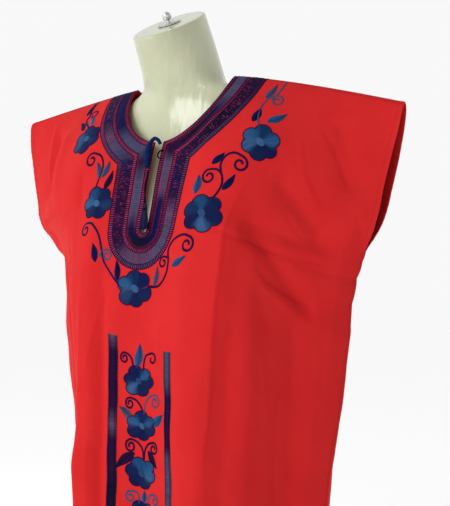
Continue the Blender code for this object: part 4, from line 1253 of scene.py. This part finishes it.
def long_band(sewn, row):
    """A long band of satin across, with uneven toothed sides."""
    top_u, hem_u, top, width, stops = row
    draw = sewn.draw
    run = LENGTH - LONG_BAND_GAP - top
    count = round(run / (SATIN_PITCH * 1.05))
    t = np.arange(count) / (count - 1)
    v = top + run * t
    tooth = np.abs((np.arange(count) / TOOTH_THREADS) % 1 - 0.5) * 2
    drift = sum(size * np.sin(v * rate + begin) for size, rate, begin in BAND_DRIFT)
    centre = top_u + (hem_u - top_u) * t + drift
    half = width / 2 * (1 - TOOTH_DEPTH + TOOTH_DEPTH * tooth)
    half = half + draw.uniform(-BAND_RAGGED, BAND_RAGGED, count)
    across = np.linspace(-1, 1, 7)
    paths = np.stack([centre[:, None] + across * half[:, None], v[:, None] + across * BAND_SLANT], -1)
    tone = tone_at(stops, t) * draw.uniform(0.7, 1.3, (count, 1)) * (0.75 + 0.5 * tooth)[:, None]
    tone = blend(tone[:, None, :], BLACK_BLUE, np.abs(across)[None, :] ** 3)
    sewn.lay(paths, SATIN_PITCH * 1.3, tone, THREAD_RISE * 1.1)
    for share in (-LINE_ASIDE, LINE_ASIDE):
        line = np.stack([centre + share * width, v], -1)[::LINE_EVERY]
        sewn.rope(line, LINE_WIDTH, tone_at(stops, t[::LINE_EVERY]) * 0.6, LINE_LIFT, LINE_PITCH)


def flat_points(drop, slit, step):
    """The cut line of a panel, as points at a spacing."""
    outline = [tuple(p) for p in border_line(0.0, drop, slit, step)]
    outline[0] = (NECK_HALF, 0.0)
    outline[-1] = (-NECK_HALF, 0.0)
    count = round((HALF_TOP - NECK_HALF) / step)
    side = [(-(NECK_HALF + (HALF_TOP - NECK_HALF) * k / count), 0.0) for k in range(1, count)]
    rows = round(LENGTH / step)
    side += [(-float(half_width(LENGTH * k / rows)), LENGTH * k / rows) for k in range(rows + 1)]
    count = round(2 * HALF_HEM / step)
    hem = [(-HALF_HEM + 2 * HALF_HEM * k / count, LENGTH) for k in range(1, count)]
    outline += side + hem + [(-u, v) for u, v in reversed(side)]
    return outline


def inside_neck(u, v, away, drop, slit):
    """Whether flat points are within the neck line moved away by a distance."""
    within = (u / (NECK_HALF + away)) ** 2 + (v / (drop + away)) ** 2 <= 1
    if slit:
        aside = away * SPREAD_END
        within |= (np.abs(u) <= slit_half(v) + away * slit_spread(v)) & (v <= SLIT_END)
        foot = np.hypot(u / (SLIT_END_HALF + aside), (v - SLIT_END) / (SLIT_END_HALF + away))
        within |= foot <= 1
    return within


def flat_area(drop, slit):
    """Area of a panel's flat cut."""
    outline = np.array(flat_points(drop, slit, 0.01))
    following = np.roll(outline, -1, axis=0)
    crossed = outline[:, 0] * following[:, 1] - following[:, 0] * outline[:, 1]
    return abs(float(crossed.sum())) / 2


def hem_height(u, v):
    """Rise of the outer face where the sleeve edges and the foot are turned up, with a sewn groove."""
    total = np.zeros_like(u)
    sleeve = half_width(v) - np.abs(u)
    sleeve_on = smooth_step((ARMHOLE - v) / HEM_FADE)
    foot = LENGTH - v
    for away, depth, on in ((sleeve, HEM_SLEEVE, sleeve_on), (foot, HEM_FOOT, 1.0)):
        raised = smooth_step((depth - away) / HEM_ROW + 1)
        groove = np.exp(-((away - depth + HEM_ROW) / GROOVE_HALF) ** 2)
        pucker = PUCKER * np.sin(2 * np.pi * (u + v) / PUCKER_LENGTH + 3 * np.sin(40 * (u - v)))
        total = np.maximum(total, on * (HEM_RISE * raised - HEM_GROOVE * groove + pucker * raised))
    return total


def cloth(name, drape, drop, slit, step, look):
    """One panel of the blouse: an inner and an outer face with creases, hems and cut edges."""
    outline = flat_points(drop, slit, step)
    spots = list(outline)
    edges = [(k, (k + 1) % len(outline)) for k in range(len(outline))]
    count = round(LENGTH / step)
    for row in range(1, count):
        v = LENGTH * row / count
        half = float(half_width(v))
        columns = round(2 * half / step)
        u = -half + 2 * half * (np.arange(1, columns) + 0.5 * (row % 2) - 0.25) / columns
        u = u[half - np.abs(u) > step * 0.55]
        keep = ~inside_neck(u, np.full_like(u, v), step * 0.6, drop, slit)
        spots += [(float(a), v) for a in u[keep]]
    found = delaunay_2d_cdt([Vector(p) for p in spots], edges, [list(range(len(outline)))], 1, 1e-7)
    flat = np.array([(p.x, p.y) for p in found[0]])
    triangles = np.array(found[2])
    u, v = flat[:, 0], flat[:, 1]
    inner = drape.point(u, v, CLOTH_INNER)
    outer = drape.point(u, v, CLOTH + hem_height(u, v))
    size = len(flat)
    pairs = np.concatenate([triangles[:, [0, 1]], triangles[:, [1, 2]], triangles[:, [2, 0]]])
    rim = pairs[~np.isin(pairs[:, 0] * size + pairs[:, 1], pairs[:, 1] * size + pairs[:, 0])]
    walls = np.concatenate([
        np.stack([rim[:, 1], rim[:, 0], rim[:, 0] + size], -1),
        np.stack([rim[:, 1], rim[:, 0] + size, rim[:, 1] + size], -1),
    ])
    faces = np.concatenate([triangles[:, ::-1], triangles + size, walls[:, ::-1]])
    if drape.side < 0:
        faces = faces[:, ::-1]
    piece = add_mesh(name, np.concatenate([inner, outer]), faces.tolist(), look,
                     flat=np.concatenate([flat, flat]))
    piece.data.set_sharp_from_angle(angle=math.radians(50))
    return piece


def seam_stitches(name, drape, look):
    """Rows of small machine stitches on the hems and beside the seams."""
    sewn = Stitches(drape)
    rows = []
    for sign in (-1, 1):
        v = np.arange(ROW_MARGIN, ARMHOLE - ROW_MARGIN, STITCH_GAP)
        rows.append((sign * (half_width(v) - HEM_SLEEVE + HEM_ROW), v, 0.0, STITCH_LONG))
        v = np.arange(ARMHOLE + ROW_BEGIN, LENGTH - HEM_FOOT, STITCH_GAP)
        rows.append((sign * (half_width(v) - SEAM_ROW), v, 0.0, STITCH_LONG))
    u = np.arange(-HALF_HEM + ROW_MARGIN, HALF_HEM - ROW_MARGIN, STITCH_GAP)
    rows.append((u, np.full_like(u, LENGTH - HEM_FOOT + HEM_ROW), STITCH_LONG, 0.0))
    for sign in (-1, 1):
        u = sign * np.arange(NECK_HALF + BORDER + ROW_BEGIN, HALF_TOP - TIP_MARGIN, STITCH_GAP)
        rows.append((u, np.full_like(u, SHOULDER_ROW), STITCH_LONG, 0.0))
    t = np.linspace(-0.5, 0.5, 4)
    for u, v, run_u, run_v in rows:
        paths = np.stack([u[:, None] + run_u * t, v[:, None] + run_v * t], -1)
        base = hem_height(paths[..., 0], paths[..., 1])
        sewn.lay(paths, STITCH_WIDTH, DEEP_RED, STITCH_RISE, base, 3.0)
    return sewn.piece(name, look, "red_cotton")


def seam_welts(name, drape, look):
    """The small ridges where the two panels are sewn together, at the sides and on the shoulders."""
    made = Cords()
    down = np.linspace(*SIDE_WELT)
    along = np.linspace(*SHOULDER_WELT)
    for sign in (-1, 1):
        for u, v in ((half_width(down), down), (along, np.zeros(len(along)))):
            made.add(drape.plain_point(sign * u, v, WELT_LIFT), WELT_HALF, DEEP_RED, 8)
    return made.piece(name, look, "red_cotton")


def tie_points(drape, route, radius):
    """A tie's centre line, as in the solids: a smooth curve through its route on the raised border."""
    lift = CLOTH + BORDER_RISE + TIE_CLEAR + radius
    keys = [Vector(drape.plain_point(u, v, lift + extra)) for u, v, extra in route]
    return spline(keys, CORD_POINTS)


def resampled(line, step):
    """A line's points again, evenly spaced."""
    along = np.concatenate([[0], np.cumsum(np.linalg.norm(np.diff(line, axis=0), axis=1))])
    at = np.linspace(0, along[-1], max(3, round(along[-1] / step) + 1))
    return np.stack([np.interp(at, along, line[:, k]) for k in range(3)], -1), along[-1]


def frames(line):
    """Two directions square to a line at each point, turned as little as possible."""
    way = np.gradient(line, axis=0)
    way /= np.linalg.norm(way, axis=1, keepdims=True)
    first = np.cross(way[0], (0.3, 0.2, 0.9))
    side = first / np.linalg.norm(first)
    sides = []
    for step in way:
        side = side - step * float(side @ step)
        side = side / np.linalg.norm(side)
        sides.append(side)
    return np.array(sides), np.cross(way, sides)


def ring_faces(rings, sides):
    """Faces between rings of points that follow each other."""
    k = np.arange(sides)
    n = (k + 1) % sides
    first = np.arange(rings - 1)[:, None] * sides
    return np.stack([first + k, first + n, first + sides + n, first + sides + k], -1).reshape(-1, 4)


def tube(line, radius, sides):
    """Points and faces of a round tube with pointed ends; radius is one number or one per point."""
    radius = np.broadcast_to(np.asarray(radius, dtype=float), (len(line),))
    a, b = frames(line)
    angle = 2 * np.pi * np.arange(sides) / sides
    ring = np.cos(angle)[None, :, None] * a[:, None, :] + np.sin(angle)[None, :, None] * b[:, None, :]
    points = (line[:, None, :] + ring * radius[:, None, None]).reshape(-1, 3)
    count = len(points)
    points = np.concatenate([points, line[:1], line[-1:]])
    k = np.arange(sides)
    n = (k + 1) % sides
    top = count - sides
    start = np.stack([n, k, np.full(sides, count), np.full(sides, count)], -1)
    end = np.stack([top + k, top + n, np.full(sides, count + 1), np.full(sides, count + 1)], -1)
    return points, np.concatenate([ring_faces(len(line), sides), start, end])


class Cords(Gathered):
    """Tubes gathered into one piece."""

    def add(self, line, radius, tone, sides=8):
        points, faces = tube(line, radius, sides)
        self.keep(points, faces, np.broadcast_to(np.asarray(tone, dtype=float), points.shape))

    def twist(self, line, radius, strands, pitch, tone, step=BOW_STEP):
        """Strands turned round a line, within a radius given as one number or one per point."""
        fine, length = resampled(line, step)
        radius = np.interp(np.linspace(0, 1, len(fine)), np.linspace(0, 1, np.size(radius)),
                           np.atleast_1d(radius))
        a, b = frames(fine)
        turn = 2 * np.pi * np.linspace(0, length, len(fine)) / pitch
        strand = radius / (1 + 1 / math.sin(math.pi / strands))
        out = radius - strand
        for k in range(strands):
            angle = turn + 2 * np.pi * k / strands
            path = fine + (np.cos(angle) * out)[:, None] * a + (np.sin(angle) * out)[:, None] * b
            self.add(path, strand * 1.08, np.array(tone) * (0.8 + 0.4 * (k % 2)))


def twisted(name, node, look, *twist):
    """A twisted cord in place of its solid."""
    made = Cords()
    made.twist(*twist)
    piece = made.piece(name, look)
    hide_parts(node)
    return piece


def ties(drape, look, draw):
    """The thick twisted end, the thin cord with its tassel, and the small loop across the slit."""
    full = TIE_THICK / 2 * BOW_FULL
    at, share = zip(*BOW_FULLNESS)
    thick = np.interp(np.linspace(0, 1, CORD_POINTS), at, share) * full
    bow = twisted("tie_bow_cords", "tie_bow", look, tie_points(drape, BOW_ROUTE, full), thick,
                  BOW_STRANDS, BOW_PITCH, BOW_BLUE)
    thin = (TIE_THIN / 2, THIN_STRANDS, THIN_PITCH, BLACK_BLUE, THIN_STEP)
    route = tie_points(drape, CORD_ROUTE, TIE_THIN / 2)
    cord = twisted("tie_thin_cord", "tie_cord", look, route, *thin)
    loop = twisted("tie_small_loop", "tie_loop", look, tie_points(drape, LOOP_ROUTE, TIE_THIN / 2), *thin)
    tassel(drape, route, look, draw)
    return [bow, loop]


def tassel(drape, route, look, draw):
    """A bound head and a skirt of loose threads at the thin cord's end."""
    foot_u, foot_v, _ = CORD_ROUTE[-1]
    way = route[-1] - route[-2]
    start = route[-1] + way / np.linalg.norm(way) * TASSEL_GAP
    lift = CLOTH + BORDER_RISE + TIE_CLEAR + TASSEL_HALF * TASSEL_FLAT
    end = drape.plain_point(foot_u + TASSEL_SWING, foot_v + TASSEL_LENGTH, lift)
    way = (end - start) / np.linalg.norm(end - start)
    out = drape.sample(drape.normal, foot_u, foot_v + TASSEL_LENGTH / 2)
    across = np.cross(way, out)
    across /= np.linalg.norm(across)
    out = np.cross(across, way)

    def path(along, wide, deep, angle):
        """Points round the tassel's axis, along it as a share of its length."""
        return (start + way * (along * TASSEL_LENGTH)[:, None] + across * (wide * np.cos(angle))[:, None]
                + out * (deep * np.sin(angle))[:, None])

    made = Cords()
    at = np.linspace(0, 1, 16)
    places, reach = zip(*TASSEL_SPREAD)
    spread = np.interp(at, places, reach) * TASSEL_HALF
    golden = math.pi * (3 - math.sqrt(5))
    for k in range(TASSEL_THREADS):
        size = spread * math.sqrt((k + 0.5) / TASSEL_THREADS) + 0.07 * TASSEL_HALF * np.sin(at * 9 + k) * at
        line = path(at * draw.uniform(0.93, 1.0), size, size * TASSEL_FLAT, golden * k)
        made.add(line, TASSEL_THREAD_HALF, blend(NAVY, STEEL, draw.uniform(0, 0.55)), 5)
    turn = np.linspace(0, 2 * math.pi * BOUND_TURNS, 90)
    bound = path(BOUND_FROM + BOUND_RUN * turn / turn[-1], TASSEL_HALF * BOUND_WIDE,
                 TASSEL_HALF * BOUND_DEEP, turn)
    made.add(bound, BOUND_HALF, BLACK_BLUE, 6)
    piece = made.piece("tie_tassel_threads", look)
    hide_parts("tie_tassel")
    return piece


def form_ring(z, inset):
    """One ring of the dress form, z from the shoulder point."""
    y, half, front, back, tilt, corner = (float(smooth_column(FORM, FORM_COLUMNS, name, z))
                                          for name in FORM_COLUMNS[1:])
    lean = math.tan(math.radians(tilt))
    angle = 2 * np.pi * np.arange(FORM_SIDES) / FORM_SIDES
    depth = np.where(np.sin(angle) > 0, back, front) - inset
    away = np.copysign(depth * np.abs(np.sin(angle)) ** (2 / corner), np.sin(angle))
    aside = np.copysign((half - inset) * np.abs(np.cos(angle)) ** (2 / corner), np.cos(angle))
    return np.stack([aside, y + away, SHOULDER_Z + z + lean * away], -1)


def dress_form(look):
    """A smooth limbless torso with rounded rims at the neck and under the hips."""
    top, foot = FORM[0][0], FORM[-1][0]
    turns = [math.pi / 2 * k / RIM_RINGS for k in range(RIM_RINGS + 1)]
    count = round((top - foot - 2 * RIM) / FORM_STEP)
    rows = [(top - RIM + RIM * math.cos(a) - FORM_INSET, FORM_INSET + RIM * (1 - math.sin(a))) for a in turns]
    rows += [(top - RIM - (top - foot - 2 * RIM) * k / count, FORM_INSET) for k in range(1, count)]
    rows += [(foot + RIM - RIM * math.sin(a), FORM_INSET + RIM * (1 - math.cos(a))) for a in turns]
    rings = [form_ring(z, inset) for z, inset in rows]
    centre_top = rings[0].mean(axis=0)
    centre_foot = rings[-1].mean(axis=0)
    lip = [centre_top + (rings[0] - centre_top) * share for share in (0.35, 0.7)]
    heel = [centre_foot + (rings[-1] - centre_foot) * share for share in (0.7, 0.35)]
    rings = lip + rings + heel
    k = np.arange(FORM_SIDES)
    faces = ring_faces(len(rings), FORM_SIDES)[:, ::-1].tolist()
    faces += [k.tolist(), (k[::-1] + (len(rings) - 1) * FORM_SIDES).tolist()]
    form = add_mesh("form_shell_smooth", np.concatenate(rings), faces, look)
    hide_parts("dress_form")
    return form


def refinish(name, look):
    """Give a CAD node a better material."""
    for place in bpy.data.objects[name].material_slots:
        place.material = look


def camera():
    """The photograph's view: level, 38 degrees round to the wearer's left."""
    angle = math.radians(CAMERA_AZIMUTH)
    data = bpy.data.cameras.new("camera")
    data.lens = LENS
    data.shift_x = SHIFT_X
    data.shift_y = SHIFT_Y
    obj = placed("camera", data, (CAMERA_AWAY * math.sin(angle), -CAMERA_AWAY * math.cos(angle), CAMERA_Z))
    obj.rotation_euler = (math.pi / 2, 0, angle)
    bpy.context.scene.camera = obj


def soft_light(name, azimuth, height, away, size, strength):
    """A rectangular soft light that faces the blouse; strength is how bright its face looks."""
    angle = math.radians(azimuth)
    data = bpy.data.lights.new(name, "AREA")
    data.shape = "RECTANGLE"
    data.size, data.size_y = size
    data.energy = strength * math.pi * size[0] * size[1]
    place = Vector((away * math.sin(angle), -away * math.cos(angle), height))
    obj = placed(name, data, place)
    obj.rotation_euler = (Vector((0, 0, LIGHTS_AIM)) - place).to_track_quat("-Z", "Y").to_euler()


def studio():
    """Near-white surroundings, a pale floor, and soft lights in front."""
    scene = bpy.context.scene
    scene.view_settings.view_transform = "Standard"
    world = bpy.data.worlds.new("pale_room")
    world.use_nodes = True
    nodes = world.node_tree.nodes
    link = world.node_tree.links.new
    towards = nodes.new("ShaderNodeVectorMath")
    towards.operation = "DOT_PRODUCT"
    towards.inputs[1].default_value = DARK_SIDE
    shade = nodes.new("ShaderNodeValToRGB")
    for element, (place, level) in zip(shade.color_ramp.elements, ROOM_LEVELS):
        element.position = place
        element.color = (level, level, level, 1.0)
    link(nodes.new("ShaderNodeTexCoord").outputs["Generated"], towards.inputs[0])
    link(towards.outputs["Value"], shade.inputs["Fac"])
    link(shade.outputs["Color"], nodes["Background"].inputs["Color"])
    nodes["Background"].inputs["Strength"].default_value = 1.0
    scene.world = world
    data = bpy.data.meshes.new("floor")
    data.from_pydata([(-FLOOR, -FLOOR, 0), (FLOOR, -FLOOR, 0), (FLOOR, FLOOR, 0), (-FLOOR, FLOOR, 0)], [],
                     [(0, 1, 2, 3)])
    data.materials.append(floor_look())
    placed("floor", data, (0, 0, -FLOOR_DROP))
    for lamp in LIGHTS:
        soft_light(*lamp)


def build():
    """All the pieces, on the drape that the solids have."""
    draw = np.random.default_rng(11)
    weave = cotton()
    blue = thread("embroidery_thread")
    cord_look = thread("cord_thread", 0.6)
    front = Drape(FRONT, FRONT_FOLDS, FRONT_CREASES, -1)
    back = Drape(BACK, BACK_FOLDS, BACK_CREASES, 1)
    back.meet(front)

    camera()
    on_front = ties(front, cord_look, draw)

    front_cloth = cloth("blouse_front", front, NECK_FRONT, True, CLOTH_STEP_FRONT, weave)
    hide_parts("front_panel")
    back_cloth = cloth("blouse_back", back, NECK_BACK, False, CLOTH_STEP_BACK, weave)
    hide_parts("back_panel")

    on_front.append(border("border_front", front, NECK_FRONT, True, blue, draw))
    on_back = [border("border_back", back, NECK_BACK, False, blue, draw)]
    for name, sew, rows in (("embroidered_flowers", flower, FLOWERS), ("embroidered_leaves", leaf, LEAVES),
                            ("embroidered_stems", stem, STEMS),
                            ("embroidered_long_bands", long_band, LONG_BANDS)):
        sewn = Stitches(front, draw)
        for row in rows:
            sew(sewn, row)
        on_front.append(sewn.piece(name, blue))
    sewing = red_thread()
    on_front.append(seam_stitches("stitches_front", front, sewing))
    on_front.append(seam_welts("seam_welts", front, sewing))
    on_back.append(seam_stitches("stitches_back", back, sewing))

    form = dress_form(moulded())
    chrome = polished("chrome_plate", (0.80, 0.80, 0.81), 0.07)
    for name in ("neck_ball", "stand_pole", "stand_base"):
        refinish(name, chrome)
    refinish("neck_washer", polished("steel_washer", (0.62, 0.63, 0.60), 0.22))

    flat_area(NECK_FRONT, True)
    flat_area(NECK_BACK, False)
    studio()


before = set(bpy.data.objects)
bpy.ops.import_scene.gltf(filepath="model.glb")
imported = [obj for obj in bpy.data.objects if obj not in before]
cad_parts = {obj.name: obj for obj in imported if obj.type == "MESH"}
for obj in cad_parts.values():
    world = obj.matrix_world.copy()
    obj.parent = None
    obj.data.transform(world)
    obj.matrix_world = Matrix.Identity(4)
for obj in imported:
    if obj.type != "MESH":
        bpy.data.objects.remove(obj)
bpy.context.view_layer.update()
build()
